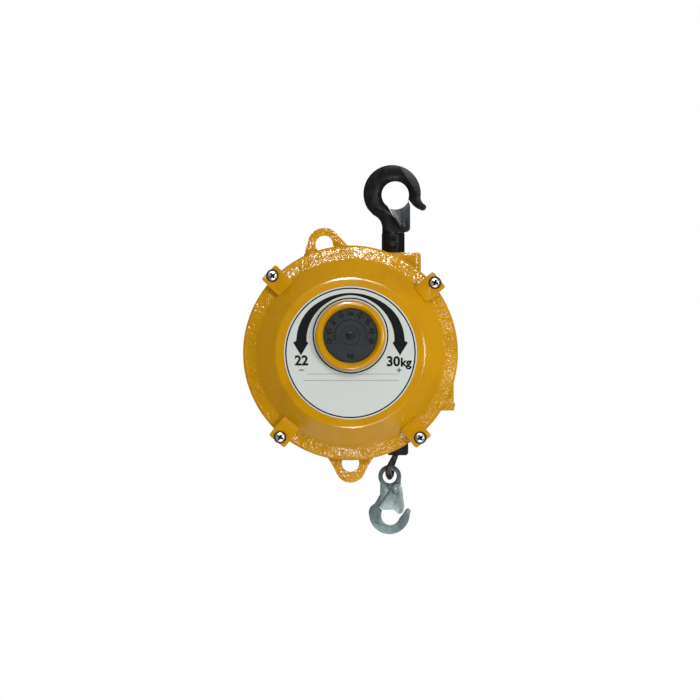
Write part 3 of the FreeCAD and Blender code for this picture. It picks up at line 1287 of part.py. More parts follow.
SUBPARTS = {
    "main_case": main_case,
    "front_cover": front_cover,
    "cover_screws": cover_screws,
    "label_plate": label_plate,
    "dial_face": dial_face,
    "dial_gear": dial_gear,
    "dial_screw": dial_screw,
    "spring_case": spring_case,
    "spring_lid": spring_lid,
    "lid_screws": lid_screws,
    "main_spring": main_spring,
    "main_shaft": main_shaft,
    "shaft_key": shaft_key,
    "rope_drum": rope_drum,
    "wound_rope": wound_rope,
    "hub_bush": hub_bush,
    "front_bearing": front_bearing,
    "rear_bearing": rear_bearing,
    "shaft_circlip": shaft_circlip,
    "bearing_cap": bearing_cap,
    "cap_screws": cap_screws,
    "worm": worm,
    "worm_bush": worm_bush,
    "worm_cap": worm_cap,
    "worm_cap_screws": worm_cap_screws,
    "lock_pawl": lock_pawl,
    "pawl_pin": pawl_pin,
    "upper_hook": upper_hook,
    "upper_latch": upper_latch,
    "upper_rivet": upper_rivet,
    "upper_latch_spring": lambda: torsion_spring(UPPER_PIVOT),
    "hanger": hanger,
    "cross_pin": cross_pin,
    "thrust_washer": thrust_washer,
    "hanger_nut": hanger_nut,
    "box_pin": box_pin,
    "rope_guide": rope_guide,
    "rope_run": rope_run,
    "ferrule": ferrule,
    "bumper": bumper,
    "rope_loop": rope_loop,
    "rope_thimble": rope_thimble,
    "load_hook": load_hook,
    "load_latch": load_latch,
    "load_rivet": load_rivet,
    "load_latch_spring": lambda: torsion_spring(LOAD_PIVOT),
}


def main():
    os.makedirs("parts", exist_ok=True)
    for name, make in SUBPARTS.items():
        write(name, make())


if __name__ == "__main__":
    main()
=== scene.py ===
"""Looks of the hook-hung spring balancer: enamelled castings, printed label and dial, forged hooks
and wire rope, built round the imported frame."""
import json
import math

import bmesh
import bpy
from bpy.props import FloatProperty, IntProperty, PointerProperty, StringProperty
from mathutils import Matrix, Vector


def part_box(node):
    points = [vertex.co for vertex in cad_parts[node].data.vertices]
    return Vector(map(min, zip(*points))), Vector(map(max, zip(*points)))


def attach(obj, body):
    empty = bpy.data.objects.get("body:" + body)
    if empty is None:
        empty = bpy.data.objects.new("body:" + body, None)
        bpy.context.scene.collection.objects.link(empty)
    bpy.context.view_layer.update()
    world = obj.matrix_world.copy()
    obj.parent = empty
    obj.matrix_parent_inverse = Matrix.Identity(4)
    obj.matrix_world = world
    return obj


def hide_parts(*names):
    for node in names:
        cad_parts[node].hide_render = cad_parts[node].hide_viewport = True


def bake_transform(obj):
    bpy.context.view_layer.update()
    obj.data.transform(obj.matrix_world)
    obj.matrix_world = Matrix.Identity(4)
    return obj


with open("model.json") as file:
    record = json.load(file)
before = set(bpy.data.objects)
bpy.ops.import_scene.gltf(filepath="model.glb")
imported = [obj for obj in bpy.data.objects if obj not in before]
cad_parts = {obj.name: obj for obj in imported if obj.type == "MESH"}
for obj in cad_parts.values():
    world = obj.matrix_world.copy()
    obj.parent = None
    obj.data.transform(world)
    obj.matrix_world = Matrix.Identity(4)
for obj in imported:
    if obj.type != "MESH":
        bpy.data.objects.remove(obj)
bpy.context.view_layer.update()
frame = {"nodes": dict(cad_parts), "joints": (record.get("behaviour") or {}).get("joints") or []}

bl_info = {
    "name": "Tool balancer looks",
    "version": (1, 0, 0),
    "blender": (4, 5, 0),
    "location": "3D View > Sidebar > Balancer",
    "description": "Builds the castings, prints, hooks and rope of a spring balancer",
    "category": "Object",
}

MM = 0.001
JOINTS = {joint["name"]: joint for joint in frame["joints"]}
DRUM_AXIS = Vector(JOINTS["spring_case_turn"]["pos_m"])
DIAL_AXIS = Vector(JOINTS["dial_turn"]["pos_m"])
EYE_AXIS = Vector(JOINTS["load_hook_swing"]["pos_m"])
LABEL_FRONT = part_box("label_plate")[0].y
DIAL_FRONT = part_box("dial_face")[0].y
CASE_MIDDLE = Vector((DRUM_AXIS.x, 0, DRUM_AXIS.z))
TAB_ANGLES = (39.7, 135.3, 230.1, 309.4)
SCREW_CIRCLE = 114.4 * MM
SCREW_HEAD_R = 6.0 * MM
SCREW_HEAD = 3.8 * MM
SMOOTH_ANGLE = 30.0
SENSOR_WIDTH = 36.0
CAPITAL_SHARE = 0.73  # height of the font's capitals to its size
LETTER_THICKNESS = 0.06 * MM


# --- Sizes and colours ---

def tint(name, about, code):
    return StringProperty(name=name, description=about, default=code)


def whole(name, about, number):
    return IntProperty(name=name, description=about, default=number)


def amount(name, about, number):
    return FloatProperty(name=name, description=about, default=number)


def metric(name, about, metres):
    return FloatProperty(name=name, description=about, default=metres, unit="LENGTH")


class PaintSettings(bpy.types.PropertyGroup):
    """Colours of the finishes, as sRGB hex."""
    enamel: tint("Enamel", "Case and cover enamel", "#CC9300")
    enamel_deep: tint("Enamel, deep", "Where the enamel lies thick", "#B98200")
    label: tint("Label", "Ground of the printed label", "#CDD1CD")
    ink: tint("Ink", "Print on the label and the dial", "#090B0B")
    dial: tint("Dial", "Ground of the dial", "#2D3336")
    hook: tint("Hook", "Black coat of the top hook", "#0D0E0F")
    zinc: tint("Zinc", "Zinc plate of the load hook", "#6F7D7D")
    rubber: tint("Rubber", "Bumper rubber", "#1C1C1B")
    rope: tint("Rope", "Drawn wire of the rope", "#5F5A52")


class CastingSettings(bpy.types.PropertyGroup):
    """Skin of the castings."""
    edge: metric("Edge radius", "Softness of the cast edges", 0.45 * MM)
    grain: metric("Cast grain", "Size of the lumps in the cast skin", 3.5 * MM)
    lump_depth: metric("Lump depth", "Height of the lumps on the cast skin", 1.9 * MM)
    fall: amount("Flange fall", "Slope of the cover's flange towards its rim", 0.16)
    peel: metric("Orange peel", "Size of the ripple in the enamel", 1.1 * MM)
    smooth_radius: metric("Smooth radius", "Cover is dressed smooth inside this", 97.5 * MM)


class PrintSettings(bpy.types.PropertyGroup):
    """Printing on the label and the dial."""
    ring_radius: metric("Outer line", "Radius of the label's outer line", 67.2 * MM)
    inner_ring: metric("Inner line", "Radius of the line round the dial boss", 38.8 * MM)
    line: metric("Line width", "Width of the printed lines", 1.45 * MM)
    lowest: whole("Lowest load", "First number of the scale, in kg", 22)
    highest: whole("Highest load", "Last number of the scale, in kg", 30)
    scale_start: amount("Scale start", "Angle of the first number", 195.0)
    scale_end: amount("Scale end", "Angle of the last number", -15.0)


class RopeSettings(bpy.types.PropertyGroup):
    """Wire rope."""
    radius: metric("Rope radius", "Half the rope's diameter", 2.4 * MM)
    lay: metric("Lay length", "Length in which a strand goes round once", 26 * MM)
    strands: whole("Strands", "Outer strands", 6)
    turn: amount("Loop turn", "Degrees of the end loop's plane from the YZ plane", 12.0)


class StageSettings(bpy.types.PropertyGroup):
    """Floor, lights and camera."""
    view_width: metric("View width", "Width seen at the cover", 728 * MM)
    lens: amount("Lens", "Focal length in mm", 800.0)
    floor_depth: metric("Floor depth", "Floor below the hanging point", 2.05)
    key: amount("Key light", "Power of the main softbox, in watts", 12.8)
    glow: amount("Surround", "Strength of the even surround", 0.58)
    mirrored: FloatProperty(name="Mirrored surround", subtype="FACTOR", default=0.15,
                            description="Part of the surround's strength seen in gloss")
    glint: amount("Glint lights", "Power of the lights seen only as glints", 65.0)


def paint():
    return bpy.context.scene.balancer_paint


def casting():
    return bpy.context.scene.balancer_casting


def printing():
    return bpy.context.scene.balancer_print


def roping():
    return bpy.context.scene.balancer_rope


def staging():
    return bpy.context.scene.balancer_stage


# --- Places ---

def spot(x, y, z):
    """Point from millimetres about the drum axis, Y counted from the hooks' middle plane."""
    return CASE_MIDDLE + Vector((x, y, z)) * MM


def polar(radius, degrees, centre=(0.0, 0.0)):
    """Point (x, z) at an angle from +X towards +Z."""
    angle = math.radians(degrees)
    return centre[0] + radius * math.cos(angle), centre[1] + radius * math.sin(angle)


# --- Nodes and materials ---

def linear(code):
    """Linear colour with alpha from an sRGB hex value."""
    channels = [int(code[k:k + 2], 16) / 255 for k in (1, 3, 5)]
    straight = [c / 12.92 if c <= 0.04045 else ((c + 0.055) / 1.055) ** 2.4 for c in channels]
    return (*straight, 1.0)


def feed(tree, node, inputs):
    """Sets inputs: each gets a value, an output to link, or a node whose first output to link."""
    for key, value in inputs.items():
        if isinstance(value, bpy.types.Node):
            value = value.outputs[0]
        if isinstance(value, bpy.types.NodeSocket):
            tree.links.new(value, node.inputs[key])
        else:
            node.inputs[key].default_value = value


def add(tree, kind, inputs=None, **settings):
    """Adds one node with its settings and links."""
    node = tree.nodes.new(kind)
    for name, value in settings.items():
        setattr(node, name, value)
    feed(tree, node, inputs or {})
    return node


def begin(name, **constants):
    """New material; returns it, its tree, its shader and the piece's own coordinates."""
    material = bpy.data.materials.new(name)
    material.use_nodes = True
    tree = material.node_tree
    shader = tree.nodes["Principled BSDF"]
    for key, value in constants.items():
        shader.inputs[key.replace("_", " ")].default_value = value
    place = add(tree, "ShaderNodeTexCoord").outputs["Object"]
    return material, tree, shader, place


def two_stops(ramp, dark, light, low=0.3, high=0.7):
    """Gives a colour ramp two hex values, at the factors low and high."""
    first, last = ramp.color_ramp.elements
    first.position, last.position = low, high
    first.color, last.color = linear(dark), linear(light)
    return ramp


def distance_from(tree, place, axis):
    """Distance from the line along Y through the point axis."""
    moved = add(tree, "ShaderNodeVectorMath", {0: place, 1: (-axis.x, 0, -axis.z)}, operation="ADD")
    return add(tree, "ShaderNodeVectorMath", {
            0: add(tree, "ShaderNodeVectorMath", {0: moved, 1: (1, 0, 1)}, operation="MULTIPLY")},
        operation="LENGTH").outputs["Value"]


def enamelled_casting(name, dressed_inside=0.0):
    """Gloss enamel sprayed over cast aluminium: the cast skin's lumps catch the light in
    scattered glints, and a part dressed before painting keeps only a fine orange peel. Outside
    the dressed part the flange falls away a little and its raised tabs are dressed too."""
    material, tree, shader, place = begin(name, Roughness=0.18, Specular_IOR_Level=0.35)
    size = casting()
    cloud = add(tree, "ShaderNodeTexNoise", {"Vector": place, "Scale": 1 / (38 * MM), "Detail": 2.0,
            "Roughness": 0.55})
    colour = two_stops(add(tree, "ShaderNodeValToRGB", {"Fac": cloud}), paint().enamel_deep,
        paint().enamel, 0.1, 0.52)
    feed(tree, shader, {"Base Color": colour, "Roughness": add(tree, "ShaderNodeMapRange",
                {"Value": add(tree, "ShaderNodeTexNoise",
                        {"Vector": place, "Scale": 1 / (5 * MM), "Detail": 3.0, "Roughness": 0.55}),
                    "From Min": 0.3, "From Max": 0.7, "To Min": 0.13, "To Max": 0.22})})
    peel = add(tree, "ShaderNodeBump", {
            "Height": add(tree, "ShaderNodeTexNoise",
                {"Vector": place, "Scale": 1 / size.peel, "Detail": 2.0, "Roughness": 0.55}),
            "Distance": 0.05 * MM, "Strength": 0.55})
    patch = add(tree, "ShaderNodeMapRange", {
            "Value": add(tree, "ShaderNodeTexNoise",
                {"Vector": place, "Scale": 1 / (16 * MM), "Detail": 1.0, "Roughness": 0.55}),
            "From Min": 0.35, "From Max": 0.62, "To Min": 0.35, "To Max": 1.0})
    grain = add(tree, "ShaderNodeMath", {
            0: add(tree, "ShaderNodeTexNoise", {"Vector": place, "Scale": 1 / size.grain,
                    "Detail": 2.0, "Roughness": 0.5}), 1: patch}, operation="MULTIPLY")
    if dressed_inside:
        radius = distance_from(tree, place, CASE_MIDDLE)
        mask = add(tree, "ShaderNodeMapRange", {"Value": radius, "From Min": dressed_inside,
                "From Max": dressed_inside + 1.5 * MM, "To Min": 0.0, "To Max": 1.0})
        depth = add(tree, "ShaderNodeSeparateXYZ", {"Vector": place}).outputs["Y"]
        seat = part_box("cover_screws")[0].y + SCREW_HEAD
        mask = add(tree, "ShaderNodeMath", {0: mask,
                1: add(tree, "ShaderNodeMapRange", {"Value": depth, "From Min": seat + 1 * MM,
                        "From Max": seat + 3 * MM, "To Min": 0.15, "To Max": 1.0})},
            operation="MULTIPLY")
        grain = add(tree, "ShaderNodeMath", {0: grain, 1: mask}, operation="MULTIPLY")
        width = 10 * MM
        fall = add(tree, "ShaderNodeMapRange", {"Value": radius, "From Min": dressed_inside,
                "From Max": dressed_inside + width, "To Min": 0.0, "To Max": 1.0})
        peel = add(tree, "ShaderNodeBump", {
                "Height": add(tree, "ShaderNodeMath", {0: fall, 1: mask}, operation="MULTIPLY"),
                "Distance": -size.fall * width, "Strength": 1.0, "Normal": peel})
    else:
        # Lugs and flange are rougher than the cover's rim; walls and back came smoother.
        depth = add(tree, "ShaderNodeSeparateXYZ", {"Vector": place}).outputs["Y"]
        grain = add(tree, "ShaderNodeMath", {0: grain,
                1: add(tree, "ShaderNodeMapRange", {"Value": depth, "From Min": -36 * MM,
                        "From Max": -22 * MM, "To Min": 1.4, "To Max": 0.3})}, operation="MULTIPLY")
    feed(tree, shader, {"Normal": add(tree, "ShaderNodeBump",
                {"Height": grain, "Distance": size.lump_depth, "Strength": 1.0, "Normal": peel})})
    return material


def screen_printed_sheet():
    """Lacquered aluminium sheet with a satin printed ground: pale, faintly cloudy and dull."""
    material, tree, shader, place = begin("screen_printed_aluminium", Roughness=0.5,
                                          Specular_IOR_Level=0.3)
    cloud = add(tree, "ShaderNodeTexNoise", {"Vector": place, "Scale": 1 / (22 * MM), "Detail": 2.0,
            "Roughness": 0.55})
    feed(tree, shader, {"Base Color": two_stops(add(tree, "ShaderNodeValToRGB", {"Fac": cloud}),
                "#CCD2CE", paint().label)})
    feed(tree, shader, {"Normal": add(tree, "ShaderNodeBump",
                {"Height": add(tree, "ShaderNodeTexNoise",
                        {"Vector": place, "Scale": 1 / (0.6 * MM), "Detail": 2.0,
                            "Roughness": 0.55}), "Distance": 0.01 * MM, "Strength": 0.4})})
    return material


def printing_ink(name="screen_ink", code=None):
    """Thick screen ink: near-black, its gloss broken by the mesh it was pushed through."""
    material, tree, shader, place = begin(name, Roughness=0.55, Specular_IOR_Level=0.08)
    mesh = add(tree, "ShaderNodeTexNoise", {"Vector": place, "Scale": 1 / (0.5 * MM), "Detail": 2.0,
            "Roughness": 0.55})
    colour = two_stops(add(tree, "ShaderNodeValToRGB", {"Fac": mesh}), code or paint().ink,
        code or "#101313", 0.2, 0.8)
    feed(tree, shader, {"Base Color": colour, "Roughness": add(tree, "ShaderNodeMapRange",
                {"Value": mesh, "From Min": 0.3, "From Max": 0.7, "To Min": 0.48, "To Max": 0.62})})
    feed(tree, shader, {"Normal": add(tree, "ShaderNodeBump",
                {"Height": mesh, "Distance": 0.02 * MM, "Strength": 0.4})})
    return material


def turned_dial_lacquer():
    """Dark blue-grey lacquer over a turned disc: fine rings round the dial's own centre."""
    material, tree, shader, place = begin("turned_dial_lacquer", Roughness=0.4,
                                          Specular_IOR_Level=0.15)
    radius = distance_from(tree, place, DIAL_AXIS)
    # Turning feed is 0.1 mm in fact and drawn 0.5 mm so that it shows.
    rings = add(tree, "ShaderNodeMath", {
            0: add(tree, "ShaderNodeMath", {0: radius, 1: 2 * math.pi / (0.5 * MM)},
                operation="MULTIPLY")}, operation="SINE").outputs["Value"]
    cloud = add(tree, "ShaderNodeTexNoise", {"Vector": place, "Scale": 1 / (9 * MM), "Detail": 3.0,
            "Roughness": 0.55})
    colour = two_stops(add(tree, "ShaderNodeValToRGB", {"Fac": cloud}), "#2B3134", paint().dial,
        0.25, 0.75)
    feed(tree, shader, {"Base Color": colour, "Roughness": add(tree, "ShaderNodeMapRange",
                {"Value": cloud, "From Min": 0.3, "From Max": 0.7, "To Min": 0.36, "To Max": 0.5})})
    feed(tree, shader, {"Normal": add(tree, "ShaderNodeBump",
                {"Height": rings, "Distance": 0.012 * MM, "Strength": 0.5})})
    return material


def black_forging(name="black_forged_steel", code=None):
    """Black oxide and oil over hammer-forged steel: nearly black, with soft broad highlights on a
    slightly lumpy scale."""
    material, tree, shader, place = begin(name, Roughness=0.34, Specular_IOR_Level=0.16)
    scale = add(tree, "ShaderNodeTexNoise", {"Vector": place, "Scale": 1 / (3.2 * MM),
            "Detail": 5.0, "Roughness": 0.6})
    colour = two_stops(add(tree, "ShaderNodeValToRGB", {"Fac": scale}), code or paint().hook,
        "#17191A")
    feed(tree, shader, {"Base Color": colour, "Roughness": add(tree, "ShaderNodeMapRange",
                {"Value": add(tree, "ShaderNodeTexNoise",
                        {"Vector": place, "Scale": 1 / (6 * MM), "Detail": 3.0, "Roughness": 0.55}),
                    "From Min": 0.3, "From Max": 0.7, "To Min": 0.28, "To Max": 0.44})})
    feed(tree, shader, {"Normal": add(tree, "ShaderNodeBump",
                {"Height": scale, "Distance": 0.2 * MM, "Strength": 0.4})})
    return material


def zinc_plate(name, light, dark, grain=1.6, depth=0.08):
    """Zinc plate passivated over steel: a cool grey-green metal with a cloudy, spangled tone."""
    material, tree, shader, place = begin(name, Metallic=0.65, Roughness=0.42)
    cloud = add(tree, "ShaderNodeTexNoise", {"Vector": place, "Scale": 1 / (11 * MM), "Detail": 3.0,
            "Roughness": 0.55})
    colour = two_stops(add(tree, "ShaderNodeValToRGB", {"Fac": cloud}), dark, light, 0.25, 0.75)
    feed(tree, shader, {"Base Color": colour, "Roughness": add(tree, "ShaderNodeMapRange",
                {"Value": add(tree, "ShaderNodeTexNoise",
                        {"Vector": place, "Scale": 1 / (2.4 * MM), "Detail": 3.0,
                            "Roughness": 0.55}), "From Min": 0.3, "From Max": 0.7, "To Min": 0.34,
                    "To Max": 0.5})})
    feed(tree, shader, {"Normal": add(tree, "ShaderNodeBump",
                {"Height": add(tree, "ShaderNodeTexNoise",
                        {"Vector": place, "Scale": 1 / (grain * MM), "Detail": 4.0,
                            "Roughness": 0.55}), "Distance": depth * MM, "Strength": 0.6})})
    return material


def bright_steel(name, light="#D6D6D2", dark="#A9AAA8", rough=0.24):
    """Bright zinc or ground steel: clean metal with faint tool marks along Y."""
    material, tree, shader, place = begin(name, Metallic=1.0, Roughness=rough)
    stretch = {"Vector": place, "Scale": (1.0, 0.12, 1.0)}
    marks = add(tree, "ShaderNodeMapping", stretch).outputs["Vector"]
    streak = add(tree, "ShaderNodeTexNoise", {"Vector": marks, "Scale": 1 / (0.7 * MM),
            "Detail": 3.0, "Roughness": 0.55})
    colour = two_stops(add(tree, "ShaderNodeValToRGB", {"Fac": streak}), dark, light)
    feed(tree, shader, {"Base Color": colour, "Roughness": add(tree, "ShaderNodeMapRange",
                {"Value": streak, "From Min": 0.3, "From Max": 0.7, "To Min": rough - 0.06,
                    "To Max": rough + 0.1})})
    feed(tree, shader, {"Normal": add(tree, "ShaderNodeBump",
                {"Height": streak, "Distance": 0.02 * MM, "Strength": 0.5})})
    return material


def cover_screw():
    """Bright zinc pan head, white, with painted shade in its cross recess and round its lower edge.
    """
    material, tree, shader, place = begin("bright_zinc_painted_recess_shade", Metallic=0.85, Roughness=0.3)
    marks = add(tree, "ShaderNodeTexNoise", {"Vector": place, "Scale": 1 / (0.9 * MM),
            "Detail": 2.0, "Roughness": 0.55})
    clean = two_stops(add(tree, "ShaderNodeValToRGB", {"Fac": marks}), "#B9BAB6", "#E9E9E4")
    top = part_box("cover_screws")[0].y
    # Painted shade: the colour turns near-black deeper than 0.9 to 1.7 mm below the head's top,
    # which darkens the cross recess and the head's lower edge.
    dark_tone = add(tree, "ShaderNodeMapRange", {
            "Value": add(tree, "ShaderNodeSeparateXYZ", {"Vector": place}).outputs["Y"],
            "From Min": top + 0.9 * MM, "From Max": top + 1.7 * MM, "To Min": 0.0, "To Max": 1.0})
    colour = add(tree, "ShaderNodeMixRGB", {
        "Fac": dark_tone, "Color1": clean, "Color2": linear("#1E1D1B")})
    feed(tree, shader, {"Base Color": colour.outputs["Color"],
            "Roughness": add(tree, "ShaderNodeMapRange",
                {"Value": marks, "From Min": 0.3, "From Max": 0.7, "To Min": 0.22, "To Max": 0.4})})
    feed(tree, shader, {"Normal": add(tree, "ShaderNodeBump",
                {"Height": marks, "Distance": 0.04 * MM, "Strength": 0.5})})
    return material


def plain_casting():
    """Bare die-cast aluminium: light grey, matt and finely pitted."""
    material, tree, shader, place = begin("bare_die_cast_aluminium", Metallic=0.9, Roughness=0.5)
    cloud = add(tree, "ShaderNodeTexNoise", {"Vector": place, "Scale": 1 / (7 * MM), "Detail": 4.0,
            "Roughness": 0.55})
    feed(tree, shader, {"Base Color": two_stops(add(tree, "ShaderNodeValToRGB", {"Fac": cloud}),
                "#9A9D9E", "#B7B9BA")})
    feed(tree, shader, {"Normal": add(tree, "ShaderNodeBump",
                {"Height": add(tree, "ShaderNodeTexNoise",
                        {"Vector": place, "Scale": 1 / (1.0 * MM), "Detail": 3.0,
                            "Roughness": 0.55}), "Distance": 0.06 * MM, "Strength": 0.6})})
    return material


def moulded_acetal():
    """Natural acetal moulding: warm white with a dull waxy skin."""
    material, tree, shader, place = begin("moulded_acetal", Roughness=0.5)
    cloud = add(tree, "ShaderNodeTexNoise", {"Vector": place, "Scale": 1 / (8 * MM), "Detail": 2.0,
            "Roughness": 0.55})
    feed(tree, shader, {"Base Color": two_stops(add(tree, "ShaderNodeValToRGB", {"Fac": cloud}),
                "#D9D3C2", "#E6E1D3")})
    feed(tree, shader, {"Normal": add(tree, "ShaderNodeBump",
                {"Height": add(tree, "ShaderNodeTexNoise",
                        {"Vector": place, "Scale": 1 / (0.8 * MM), "Detail": 3.0,
                            "Roughness": 0.55}), "Distance": 0.02 * MM, "Strength": 0.5})})
    return material


def sintered_bronze():
    """Oil-soaked sintered bronze: brown-gold with open pores."""
    material, tree, shader, place = begin("sintered_bronze", Metallic=1.0, Roughness=0.48)
    cloud = add(tree, "ShaderNodeTexNoise", {"Vector": place, "Scale": 1 / (1.2 * MM),
            "Detail": 4.0, "Roughness": 0.55})
    feed(tree, shader, {"Base Color": two_stops(add(tree, "ShaderNodeValToRGB", {"Fac": cloud}),
                "#8A6738", "#B58B52")})
    feed(tree, shader, {"Normal": add(tree, "ShaderNodeBump",
                {"Height": cloud, "Distance": 0.05 * MM, "Strength": 0.6})})
    return material


def moulded_rubber():
    """Black moulded rubber: dull, slightly grey where it has bloomed."""
    material, tree, shader, place = begin("moulded_rubber", Roughness=0.6, Specular_IOR_Level=0.2)
    bloom = add(tree, "ShaderNodeTexNoise", {"Vector": place, "Scale": 1 / (5 * MM), "Detail": 4.0,
            "Roughness": 0.55})
    feed(tree, shader, {"Base Color": two_stops(add(tree, "ShaderNodeValToRGB", {"Fac": bloom}),
                paint().rubber, "#2A2A29")})
    feed(tree, shader, {"Normal": add(tree, "ShaderNodeBump",
                {"Height": add(tree, "ShaderNodeTexNoise",
                        {"Vector": place, "Scale": 1 / (0.7 * MM), "Detail": 3.0,
                            "Roughness": 0.55}), "Distance": 0.05 * MM, "Strength": 0.7})})
    return material


def drawn_wire():
    """Galvanised drawn wire, greasy from use: grey-brown, dark in the gaps between strands."""
    material, tree, shader, place = begin("greased_galvanised_wire", Metallic=0.35, Roughness=0.42)
    dark_tone = add(tree, "ShaderNodeTexNoise", {"Vector": place, "Scale": 1 / (3.0 * MM),
            "Detail": 4.0, "Roughness": 0.55})
    colour = two_stops(add(tree, "ShaderNodeValToRGB", {"Fac": dark_tone}), "#201D1A", paint().rope,
        0.34, 0.66)
    feed(tree, shader, {"Base Color": colour, "Roughness": add(tree, "ShaderNodeMapRange",
                {"Value": dark_tone, "From Min": 0.3, "From Max": 0.7, "To Min": 0.34,
                    "To Max": 0.55})})
    # Single wires are 0.3 mm; this fine noise stands for them.
    feed(tree, shader, {"Normal": add(tree, "ShaderNodeBump",
                {"Height": add(tree, "ShaderNodeTexNoise",
                        {"Vector": place, "Scale": 1 / (0.45 * MM), "Detail": 2.0,
                            "Roughness": 0.55}), "Distance": 0.12 * MM, "Strength": 0.8})})
    return material


MATERIALS = {}


def finish_of(name):
    """Material by its finish, made once."""
    if name not in MATERIALS:
        makers = {
            "cover": lambda: enamelled_casting("enamelled_cover", casting().smooth_radius),
            "case": lambda: enamelled_casting("enamelled_case"),
            "label": screen_printed_sheet,
            "ink": printing_ink,
            "dial_ink": lambda: printing_ink("dial_ink", "#0B0C0D"),
            "dial": turned_dial_lacquer,
            "black": black_forging,
            "latch": lambda: zinc_plate("blackened_latch_sheet", "#2E3235", "#191B1D"),
            "hook_zinc": lambda: zinc_plate("passivated_zinc_forging", paint().zinc, "#566467", 1.6,
                                            0.06),
            "latch_zinc": lambda: zinc_plate("passivated_zinc_sheet", "#83908F", "#6B7877", 1.2,
                                             0.04),
            "cover_screw": cover_screw,
            "screw": lambda: bright_steel("bright_zinc_screw"),
            "steel": lambda: bright_steel("ground_steel", "#A8AAAA", "#83868A", 0.32),
            "dial_screw": lambda: black_forging("browned_screw", "#2E2C20"),
            "spring": lambda: bright_steel("blued_spring_steel", "#6D7277", "#4C5158", 0.34),
            "casting": plain_casting,
            "acetal": moulded_acetal,
            "bronze": sintered_bronze,
            "rubber": moulded_rubber,
            "wire": drawn_wire,
        }
        MATERIALS[name] = makers[name]()
    return MATERIALS[name]


# --- Meshes ---

def shown(name, data):
    """New object in the scene."""
    thing = bpy.data.objects.new(name, data)
    bpy.context.scene.collection.objects.link(thing)
    return thing


def evaluated(thing):
    """New mesh of an object as its modifiers leave it."""
    bpy.context.view_layer.update()
    seen = thing.evaluated_get(bpy.context.evaluated_depsgraph_get())
    return bpy.data.meshes.new_from_object(seen)


def coated(mesh, finish):
    """Gives a mesh its only material and smooth shading."""
    mesh.materials.clear()
    mesh.materials.append(finish_of(finish))
    mesh.shade_smooth()


def creased(mesh, angle=SMOOTH_ANGLE):
    """Keeps edges above an angle sharp."""
    mesh.set_sharp_from_angle(angle=math.radians(angle))


def piece(name, points, faces, finish):
    """New mesh object at the origin."""
    mesh = bpy.data.meshes.new(name)
    mesh.from_pydata([tuple(p) for p in points], [], faces)
    mesh.update()
    return settle(name, mesh, finish)


def settle(name, mesh, finish):
    """Object of a finished mesh, its normals outward and its material set."""
    work = bmesh.new()
    work.from_mesh(mesh)
    bmesh.ops.remove_doubles(work, verts=work.verts, dist=1e-6)
    bmesh.ops.recalc_face_normals(work, faces=work.faces)
    work.to_mesh(mesh)
    work.free()
    mesh.name = name
    coated(mesh, finish)
    creased(mesh)
    return shown(name, mesh)


def baked(thing):
    """Puts an object's modifiers into its mesh."""
    mesh = evaluated(thing)
    thing.modifiers.clear()
    thing.data = mesh
    return thing


def softened(node, finish, body, radius):
    """Copy of a CAD node with rounded edges, shown in the node's place."""
    angle = 33.0
    mesh = frame["nodes"][node].data.copy()
    work = bmesh.new()
    work.from_mesh(mesh)
    bmesh.ops.remove_doubles(work, verts=work.verts, dist=2e-6)
    flat = math.radians(0.6)
    bmesh.ops.dissolve_limit(work, angle_limit=flat, verts=work.verts, edges=work.edges)
    work.to_mesh(mesh)
    work.free()
    coated(mesh, finish)
    thing = shown(f"{node}_skin", mesh)
    bevel = thing.modifiers.new("edges", "BEVEL")
    bevel.width = radius
    bevel.segments = 2
    bevel.limit_method = "ANGLE"
    bevel.angle_limit = math.radians(angle)
    bevel.use_clamp_overlap = True
    bevel.harden_normals = True
    baked(thing)
    creased(thing.data, angle)
    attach(thing, body)
    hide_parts(node)
    return thing


def dress(finish, *nodes):
    """Gives CAD nodes that stay as they are their material."""
    for node in nodes:
        mesh = frame["nodes"][node].data
        coated(mesh, finish)
        creased(mesh)


def slab(name, loops, front, back, finish):
    """Closed sheet between two Y planes from (x, z) loops, in metres."""
    curve = bpy.data.curves.new(name, "CURVE")
    curve.dimensions = "2D"
    curve.fill_mode = "BOTH"
    curve.extrude = (back - front) / 2
    for loop in loops:
        spline = curve.splines.new("POLY")
        spline.points.add(len(loop) - 1)
        for point, (x, z) in zip(spline.points, loop):
            point.co = (x, z, 0, 1)
        spline.use_cyclic_u = True
    return stood_up(name, curve, (front + back) / 2, finish)


def mesh_of(name, curve):
    """Plain mesh of a curve or text."""
    source = shown(name, curve)
    mesh = evaluated(source)
    bpy.data.objects.remove(source)
    return mesh


def stood_up(name, curve, y, finish):
    """Object of a flat curve, stood upright in the plane Y."""
    mesh = mesh_of(name, curve)
    mesh.transform(Matrix.Translation((0, y, 0)) @ Matrix.Rotation(math.pi / 2, 4, "X"))
    return settle(name, mesh, finish)


def bar(left, right, low, high):
    """Corners of a rectangle."""
    return [(left, low), (right, low), (right, high), (left, high)]


def circle(radius, centre, count=160, start=0.0, end=360.0):
    """(x, z) points of a circle or an arc, in metres."""
    closed = abs(end - start) >= 360
    steps = count if closed else count - 1
    return [polar(radius, start + (end - start) * k / steps, centre) for k in range(count)]


def joined(name, things):
    """One object from several that share a material."""
    work = bmesh.new()
    for thing in things:
        work.from_mesh(thing.data)
    mesh = bpy.data.meshes.new(name)
    work.to_mesh(mesh)
    work.free()
    mesh.materials.append(things[0].data.materials[0])
    for thing in things:
        bpy.data.objects.remove(thing)
    mesh.shade_smooth()
    creased(mesh)
    return shown(name, mesh)


